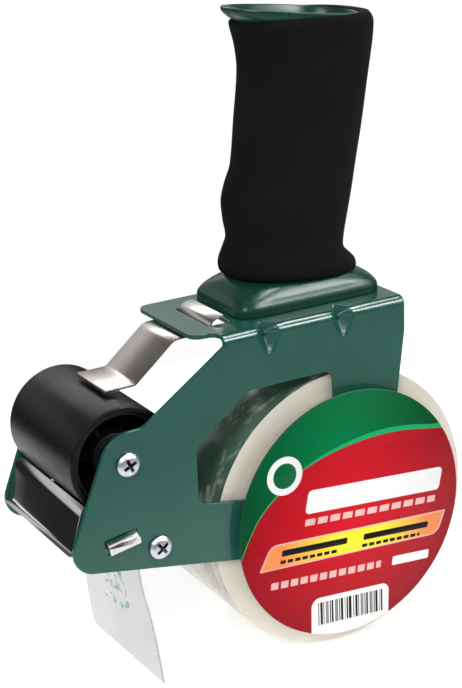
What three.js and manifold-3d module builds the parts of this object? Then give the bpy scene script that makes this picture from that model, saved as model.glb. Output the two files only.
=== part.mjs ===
// Hand-held packing-tape dispenser, in millimetres, +Z up.
// X runs from the cutting head (-X) to the back, Y across the tape, and the reel turns about Y.
// Inside the group the outer face of the side plate is y = 0; the group is then moved so that the
// printed face of the label disc lies in the plane y = 0 and the reel axis passes through the origin.
import * as THREE from 'three';
import { mergeVertices } from 'three/addons/utils/BufferGeometryUtils.js';
import Module from 'manifold-3d';

const wasm = await Module();
wasm.setup();

// ---------------------------------------------------------------- driving dimensions
const GAP = 0.3;                      // air left between pieces that touch on the real object
const SHEET = 1.6;                    // frame steel
const PLATE_IN = SHEET;               // inner face of the side plate
const FAR_ARM_Y = 54.4;               // inner face of the far arm
const LABEL_STANDOFF = 3.6;           // label face in front of the side plate
const LABEL = { r: 45.5, thick: 0.8 };

const TOP_Z = 74;                     // upper face of the top flange
const BEND_R = 3;                     // outside radius of the bend between plate and flange
const BEND_FRONT = -46;
const BACK_X = 25.4;
const FLANGE_Y = 46.5;                // far edge of the top flange
const TONGUE = { x: -54.3, near: 6.6 };  // front edge of the tongue and its near side
const DARTS = [-29, 0.4];              // the two gussets pressed across the bend
const SLOT = { front: -44.6, back: -36.5, near: 12.9, far: 36 };

const ROLL = { r: 51.3, near: 2.7, width: 48, coreOut: 40.9, coreIn: 38.1 };
const HUB_R = 37.6;
const AXLE_R = 4;

const ROLLER = { x: -83.6, z: 38.6, r: 18.5, near: 3.3, far: 52.7 };
const SPACER = { x: -73.8, z: 6.6, r: 4 };
const SCREW_R = 2;
const HEAD_R = 4.1;
const HEAD_H = 2.3;

// The blade holder: its folded ends stand through both plates, its shelf carries the blade.
const TAB = { x: -87.2, z: 12.1, length: 11.4, thick: 4.4, tilt: 9.5, proud: 2 };
const SHELF = { thick: 2.2, reach: 5 };

const WIPER = { near: 13.4, far: 35.4, thick: 0.8, hingeX: -55, z: 71.7 };

const GRIP = { x: -4.4, y: 27.2, z: 85, lean: 7, length: 87 };
const PLINTH = { x: -5, y: 27, halfX: 28.4, halfY: 17.3, wall: 3.7, flare: 0.5 };
const HANDLE_SCREWS = [-22, 12];
const HANDLE_SCREW_LENGTH = 8;

const FILM = 0.3;                     // solid that stands for the thin film
const TAIL_TWIST = 3.1;               // how far the tail's far side hangs forward of its near side
const TAIL_SKEW = 2.8;                // how much higher the far corner of its cut end is
const LIP_X = -80.7;                  // where the film turns down behind the blade holder

const rad = THREE.MathUtils.degToRad;

// ---------------------------------------------------------------- geometry helpers
function outward(geometry) {
  const g = geometry.clone();
  g.deleteAttribute('normal');
  g.deleteAttribute('uv');
  const merged = mergeVertices(g, 1e-4);
  const p = merged.attributes.position;
  const index = Array.from(merged.index.array);
  const [a, b, c] = [new THREE.Vector3(), new THREE.Vector3(), new THREE.Vector3()];
  let volume = 0;
  const kept = [];
  for (let i = 0; i < index.length; i += 3) {
    const [i0, i1, i2] = index.slice(i, i + 3);
    if (i0 === i1 || i1 === i2 || i2 === i0) continue;
    kept.push(i0, i1, i2);
    a.fromBufferAttribute(p, i0);
    b.fromBufferAttribute(p, i1);
    c.fromBufferAttribute(p, i2);
    volume += a.dot(b.cross(c));
  }
  merged.setIndex(volume > 0 ? kept : kept.reverse());
  return merged;
}

function solid(geometry) {
  const g = outward(geometry);
  const vertProperties = Float32Array.from(g.attributes.position.array);
  const triVerts = Uint32Array.from(g.index.array);
  return new wasm.Manifold(new wasm.Mesh({ numProp: 3, vertProperties, triVerts }));
}

function geometryOf(manifold) {
  const mesh = manifold.getMesh();
  const g = new THREE.BufferGeometry();
  g.setAttribute('position', new THREE.Float32BufferAttribute(Array.from(mesh.vertProperties), 3));
  g.setIndex(Array.from(mesh.triVerts));
  return g;
}

const join = (...parts) => parts.reduce((whole, part) => whole.add(part));
const cut = (whole, ...tools) => tools.reduce((rest, tool) => rest.subtract(tool), whole);

// A closed outline from corners [u, v, fillet radius].
function outline(corners, Kind = THREE.Shape) {
  const shape = new Kind();
  corners.forEach(([u, v, radius = 0], i) => {
    const corner = new THREE.Vector2(u, v);
    const before = corners.at(i - 1);
    const after = corners[(i + 1) % corners.length];
    const back = new THREE.Vector2(before[0], before[1]).sub(corner).normalize();
    const ahead = new THREE.Vector2(after[0], after[1]).sub(corner).normalize();
    const half = Math.acos(THREE.MathUtils.clamp(back.dot(ahead), -1, 1)) / 2;
    const reach = radius / Math.tan(half);
    const start = corner.clone().addScaledVector(back, reach);
    if (i === 0) shape.moveTo(start.x, start.y);
    else shape.lineTo(start.x, start.y);
    if (radius > 0) {
      const towards = back.clone().add(ahead).normalize();
      const centre = corner.clone().addScaledVector(towards, radius / Math.sin(half));
      const end = corner.clone().addScaledVector(ahead, reach);
      const a0 = Math.atan2(start.y - centre.y, start.x - centre.x);
      const a1 = Math.atan2(end.y - centre.y, end.x - centre.x);
      shape.absarc(centre.x, centre.y, radius, a0, a1, back.cross(ahead) > 0);
    }
  });
  shape.closePath();
  return shape;
}

function circleHole(u, v, r) {
  const hole = new THREE.Path();
  hole.absarc(u, v, r, 0, 2 * Math.PI, true);
  return hole;
}

// Extrusion of an (x, z) shape along +Y, from y0 over the given depth.
function acrossY(shape, y0, depth, curveSegments = 6) {
  const g = new THREE.ExtrudeGeometry(shape, { depth, bevelEnabled: false, curveSegments });
  g.rotateX(Math.PI / 2);
  return g.translate(0, y0 + depth, 0);
}

// Extrusion of an (x, y) shape along +Z.
function upwards(shape, z0, depth, curveSegments = 6) {
  const g = new THREE.ExtrudeGeometry(shape, { depth, bevelEnabled: false, curveSegments });
  return g.translate(0, 0, z0);
}

// Extrusion of a (y, z) shape along +X.
function alongX(shape, x0, depth, curveSegments = 6) {
  const g = new THREE.ExtrudeGeometry(shape, { depth, bevelEnabled: false, curveSegments });
  const swap = new THREE.Matrix4().makeBasis(
    new THREE.Vector3(0, 1, 0), new THREE.Vector3(0, 0, 1), new THREE.Vector3(1, 0, 0));
  return g.applyMatrix4(swap).translate(x0, 0, 0);
}

// Body of revolution about Y from a closed profile of [radius, y].
function turned(profile, segments = 32) {
  const points = profile.map(([r, y]) => new THREE.Vector2(r, y));
  if (profile[0][0] > 0) points.push(points[0].clone());
  return outward(new THREE.LatheGeometry(points, segments));
}

const tube = (rIn, rOut, y0, y1, segments) =>
  turned([[rIn, y0], [rOut, y0], [rOut, y1], [rIn, y1]], segments);

function rodY(x, z, r, y0, y1, segments = 20) {
  return new THREE.CylinderGeometry(r, r, y1 - y0, segments).translate(x, (y0 + y1) / 2, z);
}

function block(x0, x1, y0, y1, z0, z1) {
  return new THREE.BoxGeometry(x1 - x0, y1 - y0, z1 - z0)
    .translate((x0 + x1) / 2, (y0 + y1) / 2, (z0 + z1) / 2);
}

// A bent strip: polyline of [x, z] with round corners, made one thickness wide.
function strip(points, thick) {
  const path = points.map(([x, z]) => new THREE.Vector2(x, z));
  const sides = [[], []];
  path.forEach((p, i) => {
    const into = path[Math.max(i, 1)].clone().sub(path[Math.max(i, 1) - 1]).normalize();
    const out = i < path.length - 1 ? path[i + 1].clone().sub(p).normalize() : into;
    const along = into.clone().add(out).normalize();
    const normal = new THREE.Vector2(-along.y, along.x);
    const reach = thick / 2 / Math.max(along.dot(out), 0.3);
    sides[0].push(p.clone().addScaledVector(normal, reach));
    sides[1].unshift(p.clone().addScaledVector(normal, -reach));
  });
  return new THREE.Shape([...sides[0], ...sides[1]]);
}

// Points of an arc about (cx, cz), angles in degrees.
function arc(cx, cz, r, from, to, steps) {
  return Array.from({ length: steps + 1 }, (_, i) => {
    const a = rad(from + ((to - from) * i) / steps);
    return [cx + r * Math.cos(a), cz + r * Math.sin(a)];
  });
}

// ---------------------------------------------------------------- scene graph
const dispenser = new THREE.Group();
dispenser.position.y = LABEL_STANDOFF;

function piece(name, shape, finish) {
  const geometry = shape instanceof wasm.Manifold ? geometryOf(shape) : outward(shape);
  const [color, roughness, metalness] = finish;
  const mesh = new THREE.Mesh(geometry, new THREE.MeshStandardMaterial({ color, roughness, metalness }));
  mesh.name = name;
  dispenser.add(mesh);
  return mesh;
}

const PAINT = [0x2f5045, 0.35, 0.2];
const CHROME = [0xc8c6c4, 0.15, 1];
const ZINC = [0xb8bcc4, 0.3, 1];
const RUBBER = [0x2c2c2c, 0.6, 0];
const BLACK_PLASTIC = [0x1c1c1c, 0.45, 0];
const GREEN_PLASTIC = [0x1e4435, 0.3, 0];
const FOAM = [0x1c1c1c, 0.95, 0];
const HUB_PLASTIC = [0x222222, 0.5, 0];
const CARD = [0xb08d62, 0.9, 0];
const PRINT = [0xc81e2d, 0.3, 0];
const CLEAR_FILM = [0xd9d3c3, 0.2, 0];
const NYLON = [0xe8e6de, 0.5, 0];

// ---------------------------------------------------------------- frame
const BOTTOM_FRONT = [-107.9, 5.3, 8];
const BOSS_FRONT = [-89.6, 49.4, 11];
const BOSS_BACK = [-77.1, 49.7, 6];
// The far arm stands slightly further forward than the side plate.
const ARM_BOTTOM_FRONT = [-108.4, 5.3, 8];
const ARM_BOSS_FRONT = [-90.4, 49.7, 11];

function tabSlot(Kind, clearance) {
  const c = Math.cos(rad(TAB.tilt));
  const s = Math.sin(rad(TAB.tilt));
  const hu = TAB.length / 2 + clearance;
  const hv = TAB.thick / 2 + clearance;
  const corners = [[-hu, -hv], [hu, -hv], [hu, hv], [-hu, hv]];
  return outline(corners.map(([u, v]) => [TAB.x + u * c - v * s, TAB.z + u * s + v * c]), Kind);
}

function frameHoles() {
  return [
    circleHole(ROLLER.x, ROLLER.z, SCREW_R + GAP),
    circleHole(SPACER.x, SPACER.z, SCREW_R + GAP),
    tabSlot(THREE.Path, GAP),
  ];
}

// A gusset pressed across the bend: a three-sided dent outside, and a ridge inside.
const DART_REACH = 8.5;
function dart(x, halfWidth, depth) {
  const corner = [[0, 0], [DART_REACH, 0], [depth, -depth], [0, -DART_REACH]];
  const wedge = new THREE.Shape(corner.map(([y, z]) => new THREE.Vector2(y, TOP_Z + z)));
  return solid(alongX(wedge, x - halfWidth, 2 * halfWidth));
}

function mainFrame() {
  const wall = outline([
    [BACK_X, TOP_Z - BEND_R], [BEND_FRONT, TOP_Z - BEND_R], BOSS_BACK, BOSS_FRONT, BOTTOM_FRONT,
    [-22, -11.1, 10], [-10, -22, 14], [16, -22, 20], [22.9, -4, 12], [22.4, 38, 30], [25.8, 62, 20],
  ]);
  const window = outline([
    [-4, 53.3, 4], [-37, 53.3, 6], [-58.2, 38.6, 5], [-58.2, 17.7, 4], [-24, 11.3, 10], [-4, 24, 10],
  ], THREE.Path);
  wall.holes.push(window, circleHole(0, 0, AXLE_R + GAP), ...frameHoles());

  const flange = outline([
    [BACK_X, BEND_R], [BACK_X, FLANGE_Y, 5], [TONGUE.x, FLANGE_Y, 4], [TONGUE.x, TONGUE.near, 4],
    [-46.4, 5.6, 2], [BEND_FRONT, BEND_R],
  ]);
  const slot = outline([
    [SLOT.front, SLOT.near, 1], [SLOT.back, SLOT.near, 1],
    [SLOT.back, SLOT.far, 1], [SLOT.front, SLOT.far, 1],
  ], THREE.Path);
  flange.holes.push(slot, ...HANDLE_SCREWS.map((x) => circleHole(x, PLINTH.y, SCREW_R + GAP)));

  const bend = new THREE.Shape();
  bend.absarc(BEND_R, TOP_Z - BEND_R, BEND_R, Math.PI, Math.PI / 2, true);
  bend.absarc(BEND_R, TOP_Z - BEND_R, BEND_R - SHEET, Math.PI / 2, Math.PI, false);

  let body = join(
    solid(acrossY(wall, 0, SHEET)),
    solid(upwards(flange, TOP_Z - SHEET, SHEET)),
    solid(alongX(bend, BEND_FRONT, BACK_X - BEND_FRONT)),
  );
  for (const x of DARTS) {
    body = join(body, dart(x, 2.4, 5.6));
    body = cut(body, dart(x, 1.1, 4));
  }
  return body;
}
piece('main_frame', mainFrame(), PAINT);

function farArm() {
  const arm = outline([
    [-73.4, 49.7, 9], ARM_BOSS_FRONT, ARM_BOTTOM_FRONT, [-65.5, -2.9, 6], [-65.5, 12, 12],
  ]);
  arm.holes.push(...frameHoles());
  return acrossY(arm, FAR_ARM_Y, SHEET);
}
piece('far_arm', farArm(), PAINT);

// ---------------------------------------------------------------- fasteners
// Pan-head screw lying along Y; side = -1 puts the head on the near side, +1 on the far side.
function panScrew(x, z, seatY, length, side) {
  const dome = [
    [0, 0], [HEAD_R, 0], [HEAD_R, 0.9], [HEAD_R * 0.82, 1.75], [HEAD_R * 0.45, HEAD_H], [0, HEAD_H],
  ];
  const head = solid(turned(dome, 24));
  const shank = solid(turned([[0, -length], [SCREW_R, -length], [SCREW_R, 0.1], [0, 0.1]], 12));
  const wing = (w, d) => solid(block(-w, w, HEAD_H - 1.5, HEAD_H + 1, -d, d));
  const whole = cut(join(head, shank), wing(2.4, 0.45), wing(0.45, 2.4));
  const turn = side < 0 ? 180 : 0;
  return whole.rotate([turn, 0, 0]).rotate([0, 24, 0]).translate([x, seatY, z]);
}

const NEAR_SEAT = -GAP;
const FAR_SEAT = FAR_ARM_Y + SHEET + GAP;
const SCREW_LENGTH = 9;
for (const [name, at] of [['roller_screw', ROLLER], ['spacer_screw', SPACER]]) {
  piece(`${name}_near`, panScrew(at.x, at.z, NEAR_SEAT, SCREW_LENGTH, -1), ZINC);
  piece(`${name}_far`, panScrew(at.x, at.z, FAR_SEAT, SCREW_LENGTH, 1), ZINC);
}

// Rod between the two plates, tapped at both ends for its screws.
function tappedRod(at, r) {
  const y0 = PLATE_IN + GAP;
  const y1 = FAR_ARM_Y - GAP;
  const bore = (from, to) => solid(rodY(at.x, at.z, SCREW_R + GAP, from, to, 12));
  return cut(solid(rodY(at.x, at.z, r, y0, y1)), bore(y0 - 1, y0 + 8.5), bore(y1 - 8.5, y1 + 1));
}
piece('roller_axle', tappedRod(ROLLER, 3.2), ZINC);
piece('spacer_rod', tappedRod(SPACER, SPACER.r), ZINC);

// ---------------------------------------------------------------- cutting head
function bladeGuard() {
  const thick = 1;
  const front = [[-98.9, 26.2], [-103.2, 13], [-103.6, 11.6], [-105.2, 10.6]];
  const y0 = PLATE_IN + GAP;
  const y1 = FAR_ARM_Y - GAP;
  const sheet = solid(acrossY(strip(front, thick), y0, y1 - y0));
  const ear = outline([[-99, 25.4], [-103.2, 12.6], [-97.6, 13.3, 1.5], [-97.2, 22.4, 1.5]]);
  return join(sheet, solid(acrossY(ear, y0, thick)), solid(acrossY(ear, y1 - thick, thick)));
}
piece('blade_guard', bladeGuard(), CHROME);

// Places a shape given along (u) and square to (v) the tilted blade holder.
function tilted(corners) {
  const c = Math.cos(rad(TAB.tilt));
  const s = Math.sin(rad(TAB.tilt));
  return outline(corners.map(([u, v]) => [TAB.x + u * c - v * s, TAB.z + u * s + v * c]));
}

// A rectangle along the tilted holder from u0 to u1, of the given thickness.
const bar = (u0, u1, thick) => tilted([[u0, -thick / 2], [u1, -thick / 2], [u1, thick / 2], [u0, thick / 2]]);

function bladeHolder() {
  const half = TAB.length / 2;
  const y0 = PLATE_IN + GAP;
  const y1 = FAR_ARM_Y - GAP;
  const outer = FAR_ARM_Y + SHEET + TAB.proud;
  return join(
    solid(acrossY(bar(-half, half, TAB.thick), -TAB.proud, outer + TAB.proud)),
    solid(acrossY(bar(-half - SHELF.reach, 1 - half, SHELF.thick), y0, y1 - y0)),
  );
}
piece('blade_holder', bladeHolder(), CHROME);

const BLADE = { pitch: 2, teeth: 25, depth: 1.6, width: 5, thick: 0.8, sideGap: 1.4 };
function cuttingBlade() {
  const length = BLADE.teeth * BLADE.pitch;
  const shape = new THREE.Shape();
  shape.moveTo(0, 0);
  shape.lineTo(BLADE.width, 0);
  shape.lineTo(BLADE.width, length);
  for (let i = BLADE.teeth; i > 0; i -= 1) {
    shape.lineTo(0, i * BLADE.pitch);
    shape.lineTo(-BLADE.depth, (i - 0.5) * BLADE.pitch);
  }
  shape.closePath();
  const g = new THREE.ExtrudeGeometry(shape, { depth: BLADE.thick, bevelEnabled: false });
  g.translate(-TAB.length / 2 - BLADE.width - GAP, 0, SHELF.thick / 2 + GAP);
  g.rotateY(rad(-TAB.tilt));
  return g.translate(TAB.x, PLATE_IN + GAP + BLADE.sideGap, TAB.z);
}
piece('cutting_blade', cuttingBlade(), CHROME);

// ---------------------------------------------------------------- roller
function atRoller(geometry) {
  return geometry.translate(ROLLER.x, 0, ROLLER.z);
}
const SLEEVE_IN = 16.7;
piece('roller_sleeve', atRoller(tube(SLEEVE_IN, ROLLER.r, ROLLER.near, ROLLER.far, 40)), RUBBER);

const RIM = { in: 15, out: 16.4, recess: 1.5 };
const BOSS = { near: 9, far: 47.5, bore: 5.2, r: 7.6 };
const WEB = { near: 26, far: 30 };
function rollerCore() {
  const rim = solid(tube(RIM.in, RIM.out, ROLLER.near + RIM.recess, ROLLER.far - RIM.recess, 40));
  const web = solid(tube(BOSS.r - 1, RIM.in + 0.2, WEB.near, WEB.far, 40));
  const boss = solid(tube(BOSS.bore, BOSS.r, BOSS.near, BOSS.far, 24));
  return join(rim, web, boss).translate([ROLLER.x, 0, ROLLER.z]);
}
piece('roller_core', rollerCore(), BLACK_PLASTIC);

// Flanged bush pressed into one end of the boss; end is the boss face, way points out of the core.
const BUSH = { bore: 3.5, flangeR: 7.2, flange: 1, inside: 8 };
function bush(end, way) {
  const span = (a, b) => [end + way * a, end + way * b].sort((p, q) => p - q);
  const sleeve = solid(tube(BUSH.bore, BOSS.bore - GAP, ...span(-BUSH.inside, GAP + BUSH.flange / 2), 20));
  const flange = solid(tube(BUSH.bore, BUSH.flangeR, ...span(GAP, GAP + BUSH.flange), 20));
  return join(sleeve, flange).translate([ROLLER.x, 0, ROLLER.z]);
}
piece('roller_bush_near', bush(BOSS.near, -1), BLACK_PLASTIC);
piece('roller_bush_far', bush(BOSS.far, 1), BLACK_PLASTIC);

// ---------------------------------------------------------------- tape wiper
const wiperWidth = WIPER.far - WIPER.near;
const wiperClip = [
  [WIPER.hingeX + 0.15, WIPER.z], [-44.6, WIPER.z], [-43.9, 72.3], [-43.6, 73.4], [-43.3, 74.5],
  [-42.6, 75.1], [-41, 75.8], [-39.6, 76.15], [-38.4, 76.2],
];
piece('wiper_clip', acrossY(strip(wiperClip, WIPER.thick), WIPER.near, wiperWidth), CHROME);

// The pad lies just above the roller; its front edge is folded under.
const PAD = { z: 59.1, front: -83.4, hemBack: -78.2, hemLow: 58 };
const wiperBlade = [
  [WIPER.hingeX - 0.15, WIPER.z], [-56.6, WIPER.z - 0.1], [-58.2, 70.9], [-59.2, 70.1],
  [-71.4, 60.1], [-72.4, 59.4], [-73.6, PAD.z], [-82.6, PAD.z],
];
function wiper() {
  const sheet = solid(acrossY(strip(wiperBlade, WIPER.thick), WIPER.near, wiperWidth));
  const top = PAD.z + WIPER.thick / 2;
  const hem = solid(block(PAD.front, PAD.hemBack, WIPER.near, WIPER.far, PAD.hemLow, top));
  return join(sheet, hem);
}
piece('wiper', wiper(), CHROME);

// ---------------------------------------------------------------- handle
// A lofted tube: rings of points joined into a closed skin with flat ends.
function loft(rings) {
  const n = rings[0].length;
  const positions = rings.flat().flatMap((p) => [p.x, p.y, p.z]);
  const index = [];
  for (let k = 0; k + 1 < rings.length; k += 1) {
    for (let i = 0; i < n; i += 1) {
      const j = (i + 1) % n;
      const [a, b, c, d] = [k * n + i, k * n + j, (k + 1) * n + i, (k + 1) * n + j];
      index.push(a, b, d, a, d, c);
    }
  }
  for (const [k, flip] of [[0, true], [rings.length - 1, false]]) {
    const centre = rings[k].reduce((sum, p) => sum.add(p), new THREE.Vector3()).divideScalar(n);
    const hub = positions.length / 3;
    positions.push(centre.x, centre.y, centre.z);
    for (let i = 0; i < n; i += 1) {
      const j = (i + 1) % n;
      index.push(hub, k * n + (flip ? j : i), k * n + (flip ? i : j));
    }
  }
  const g = new THREE.BufferGeometry();
  g.setAttribute('position', new THREE.Float32BufferAttribute(positions, 3));
  g.setIndex(index);
  return g;
}

// One oval section of the handle at distance s up its leaning axis.
// front, rear and side are its reaches, square is the exponent of the oval.
const RING = 24;
function handleRing({ s, front, rear, side, square = 2.3, slope = 0 }, grow = 0) {
  const lean = rad(GRIP.lean);
  return Array.from({ length: RING }, (_, i) => {
    const a = (2 * Math.PI * i) / RING;
    const c = Math.cos(a);
    const w = Math.sin(a);
    const t = Math.sign(c) * Math.abs(c) ** (2 / square) * ((c > 0 ? rear : front) + grow);
    const y = Math.sign(w) * Math.abs(w) ** (2 / square) * (side + grow);
    const up = s + slope * c;
    return new THREE.Vector3(
      GRIP.x + up * Math.sin(lean) + t * Math.cos(lean),
      GRIP.y + y,
      GRIP.z + up * Math.cos(lean) - t * Math.sin(lean),
    );
  });
}
const handleLoft = (sections, grow = 0) => solid(loft(sections.map((section) => handleRing(section, grow))));

const core = [
  { s: -6, front: 20.5, rear: 17, side: 11 },
  { s: 12, front: 19.5, rear: 15.6, side: 11 },
  { s: 40, front: 19, rear: 17.4, side: 11 },
  { s: 70, front: 19, rear: 18, side: 11 },
  { s: 78, front: 21.5, rear: 18.2, side: 12 },
  { s: 82, front: 26, rear: 18.4, side: 13.6 },
  { s: 84.8, front: 30.4, rear: 18.6, side: 15 },
  { s: 86, front: 31.4, rear: 18.6, side: 15.2 },
  { s: GRIP.length, front: 31.3, rear: 18.6, side: 15.2 },
];
const pocket = [
  { s: 8, front: 16, rear: 12.6, side: 8 },
  { s: 70, front: 16, rear: 15, side: 8 },
  { s: 79, front: 19, rear: 15.4, side: 9.4 },
  { s: 84, front: 26.5, rear: 16, side: 12 },
  { s: GRIP.length + 1, front: 29.8, rear: 16.8, side: 13.6 },
];

// The foot: an upright wall with rounded corners, then a dome that closes onto the handle.
function footRing(z, grow) {
  const square = 10;
  return Array.from({ length: RING }, (_, i) => {
    const a = (2 * Math.PI * i) / RING;
    const [c, w] = [Math.cos(a), Math.sin(a)];
    return new THREE.Vector3(
      PLINTH.x + Math.sign(c) * Math.abs(c) ** (2 / square) * (PLINTH.halfX + grow),
      PLINTH.y + Math.sign(w) * Math.abs(w) ** (2 / square) * (PLINTH.halfY + grow), z);
  });
}
const DOME = { s: -2.6, front: 22, rear: 21, side: 13.5 };
function footSolid(grow) {
  const base = TOP_Z + GAP;
  const wall = footRing(base + PLINTH.wall, grow);
  const top = handleRing(DOME, grow);
  const dome = [0.25, 0.5, 0.75, 1].map((f) => wall.map((p, i) => new THREE.Vector3(
    p.x + (top[i].x - p.x) * f ** 1.2, p.y + (top[i].y - p.y) * f ** 1.2, p.z + (top[i].z - p.z) * f)));
  return solid(loft([footRing(base, grow + PLINTH.flare), wall, ...dome]));
}

function handleCore() {
  const body = join(handleLoft(core), footSolid(0));
  const screwHoles = HANDLE_SCREWS.map((x) =>
    solid(new THREE.CylinderGeometry(SCREW_R + GAP, SCREW_R + GAP, HANDLE_SCREW_LENGTH, 12)
      .rotateX(Math.PI / 2).translate(x, PLINTH.y, TOP_Z - 1 + HANDLE_SCREW_LENGTH / 2)));
  const belowFlange = solid(block(-60, 40, 0, 60, 60, TOP_Z + GAP));
  return cut(body, handleLoft(pocket), belowFlange, ...screwHoles);
}
piece('handle_core', handleCore(), GREEN_PLASTIC);

const foam = [
  { s: -2.45, front: 23.5, rear: 23.6, side: 15.2, slope: 0.85 },
  { s: -1.45, front: 24.9, rear: 25.3, side: 16.8, slope: 0.85 },
  { s: 1.75, front: 25.5, rear: 24.4, side: 17.2, slope: 0.85 },
  { s: 5.95, front: 24.6, rear: 19.4, side: 16, slope: 0.85 },
  { s: 10.15, front: 23.5, rear: 19, side: 15.4, slope: 0.85 },
  { s: 16.15, front: 25.1, rear: 19.5, side: 15.6, slope: 0.85 },
  { s: 22.65, front: 26.3, rear: 20.2, side: 15.8, slope: 0.85 },
  { s: 28.65, front: 25.4, rear: 20.9, side: 15.7, slope: 0.85 },
  { s: 34.3, front: 23.6, rear: 21.4, side: 15.5, slope: 0.5 },
  { s: 50, front: 23.3, rear: 22.8, side: 15.6 },
  { s: 66, front: 23.2, rear: 23.7, side: 15.8 },
  { s: 74, front: 24.8, rear: 24.1, side: 16.2 },
  { s: 80, front: 27.1, rear: 24.2, side: 16.6 },
  { s: 84.2, front: 27.3, rear: 23.3, side: 16.8, slope: 2.2 },
  { s: 85.7, front: 25.8, rear: 21.4, side: 15.8, slope: 3 },
];
piece('foam_grip', cut(handleLoft(foam), handleLoft(core, GAP + 0.1), footSolid(GAP + 0.1)), FOAM);

// Screws from under the flange into the handle.
HANDLE_SCREWS.forEach((x, i) => {
  const upright = panScrew(0, 0, 0, HANDLE_SCREW_LENGTH, 1).rotate([-90, 0, 0]);
  piece(i === 0 ? 'handle_screw_front' : 'handle_screw_rear',
    upright.translate([x, PLINTH.y, TOP_Z - SHEET - GAP]), ZINC);
});

// ---------------------------------------------------------------- reel
const HUB = { near: 3.2, far: 52.4, web: 6.4, boss: 12 };
function hub() {
  const cup = solid(turned([
    [AXLE_R + 0.4, HUB.near], [HUB_R, HUB.near], [HUB_R, HUB.far], [HUB_R - 2.4, HUB.far],
    [HUB_R - 2.4, HUB.web], [9.5, HUB.web], [9.5, HUB.boss], [AXLE_R + 0.4, HUB.boss],
  ], 48));
  const spokes = [0, 60, 120, 180, 240, 300].map((turn) =>
    solid(block(9, HUB_R - 2, HUB.web - 0.2, HUB.boss - 1, -1, 1)).rotate([0, turn, 0]));
  const lugFrom = ROLL.near + ROLL.width + GAP;
  const lugs = [45, 135, 225, 315].map((turn) =>
    solid(block(HUB_R - 2, HUB_R + 2, lugFrom, HUB.far, -4, 4)).rotate([0, turn, 0]));
  return join(cup, ...spokes, ...lugs);
}
piece('hub', hub(), HUB_PLASTIC);

const rollFar = ROLL.near + ROLL.width;
piece('tape_core', tube(ROLL.coreIn, ROLL.coreOut, ROLL.near, rollFar, 56), CARD);
piece('tape_roll', tube(ROLL.coreOut + 0.2, ROLL.r, ROLL.near, rollFar, 64), CLEAR_FILM);

// ---------------------------------------------------------------- axle and drag brake
const CAP = { in: 9.6, out: 18 };
const capFront = LABEL.thick - LABEL_STANDOFF + GAP;
const AXLE_END = 38;
const axle = [
  [0, capFront], [8.5, capFront], [9, capFront + 0.6], [9, -GAP], [AXLE_R, -GAP],
  [AXLE_R, AXLE_END - 1], [AXLE_R - 1, AXLE_END], [0, AXLE_END],
];
piece('hub_axle', turned(axle, 24), ZINC);
piece('friction_washer', tube(AXLE_R + 0.4, 14, PLATE_IN + GAP, HUB.near - GAP, 28), NYLON);
piece('spring_washer', tube(AXLE_R + 0.4, 9, HUB.boss + GAP, HUB.boss + 1.5, 24), ZINC);

const SPRING = { r: 6.6, wire: 0.7, from: HUB.boss + 2.6, to: 23, turns: 4 };
class Helix extends THREE.Curve {
  getPoint(t, target = new THREE.Vector3()) {
    const a = 2 * Math.PI * SPRING.turns * t;
    const y = SPRING.from + (SPRING.to - SPRING.from) * t;
    return target.set(SPRING.r * Math.cos(a), y, SPRING.r * Math.sin(a));
  }
}
function brakeSpring() {
  const wire = new THREE.Shape();
  wire.absarc(0, 0, SPRING.wire, 0, 2 * Math.PI, false);
  return new THREE.ExtrudeGeometry(wire, {
    steps: 12 * SPRING.turns, extrudePath: new Helix(), curveSegments: 3, bevelEnabled: false,
  });
}
piece('brake_spring', brakeSpring(), ZINC);

function brakeKnob() {
  const lobes = 6;
  const shape = new THREE.Shape();
  const count = 48;
  for (let i = 0; i < count; i += 1) {
    const a = (2 * Math.PI * i) / count;
    const r = 13 + 1.3 * Math.cos(lobes * a);
    if (i === 0) shape.moveTo(r, 0);
    else shape.lineTo(r * Math.cos(a), r * Math.sin(a));
  }
  shape.closePath();
  shape.holes.push(circleHole(0, 0, AXLE_R + 0.4));
  const y0 = SPRING.to + 1.1;
  return join(solid(acrossY(shape, y0, 8)), solid(tube(AXLE_R + 0.4, 8, y0 + 7.5, y0 + 11, 24)));
}
piece('brake_knob', brakeKnob(), BLACK_PLASTIC);

piece('hub_cap', tube(CAP.in, CAP.out, capFront, -GAP, 36), HUB_PLASTIC);
piece('label_disc', turned([
  [0, -LABEL_STANDOFF], [LABEL.r, -LABEL_STANDOFF], [LABEL.r, LABEL.thick - LABEL_STANDOFF],
  [0, LABEL.thick - LABEL_STANDOFF],
], 64), PRINT);

// ---------------------------------------------------------------- loose film
// The film leaves the top of the roll, goes over the roller and behind the blade holder.
const filmR = ROLLER.r + GAP + FILM / 2;
const rollR = ROLL.r + GAP + FILM / 2;
const between = Math.atan2(ROLLER.z, ROLLER.x);
const spread = Math.acos((rollR - filmR) / Math.hypot(ROLLER.x, ROLLER.z));
const liftOff = THREE.MathUtils.radToDeg(between - spread);
const lip = [LIP_X, TAB.z + 4.2];
const toLip = [lip[0] - ROLLER.x, lip[1] - ROLLER.z];
const leave = THREE.MathUtils.radToDeg(
  Math.atan2(toLip[1], toLip[0]) - Math.acos(filmR / Math.hypot(...toLip))) + 360;
const filmPath = [
  [rollR * Math.cos(rad(liftOff)), rollR * Math.sin(rad(liftOff))],
  ...arc(ROLLER.x, ROLLER.z, filmR, liftOff, leave, 14),
  lip, [LIP_X - 0.05, 6],
];
piece('tape_web', acrossY(strip(filmPath, FILM), ROLL.near, ROLL.width), CLEAR_FILM);

const tailPath = [[LIP_X - 0.05, 5.7], [-80.6, -2], [-79.6, -10], [-77.7, -19], [-75.9, -30], [-73.8, -46.8]];
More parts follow.
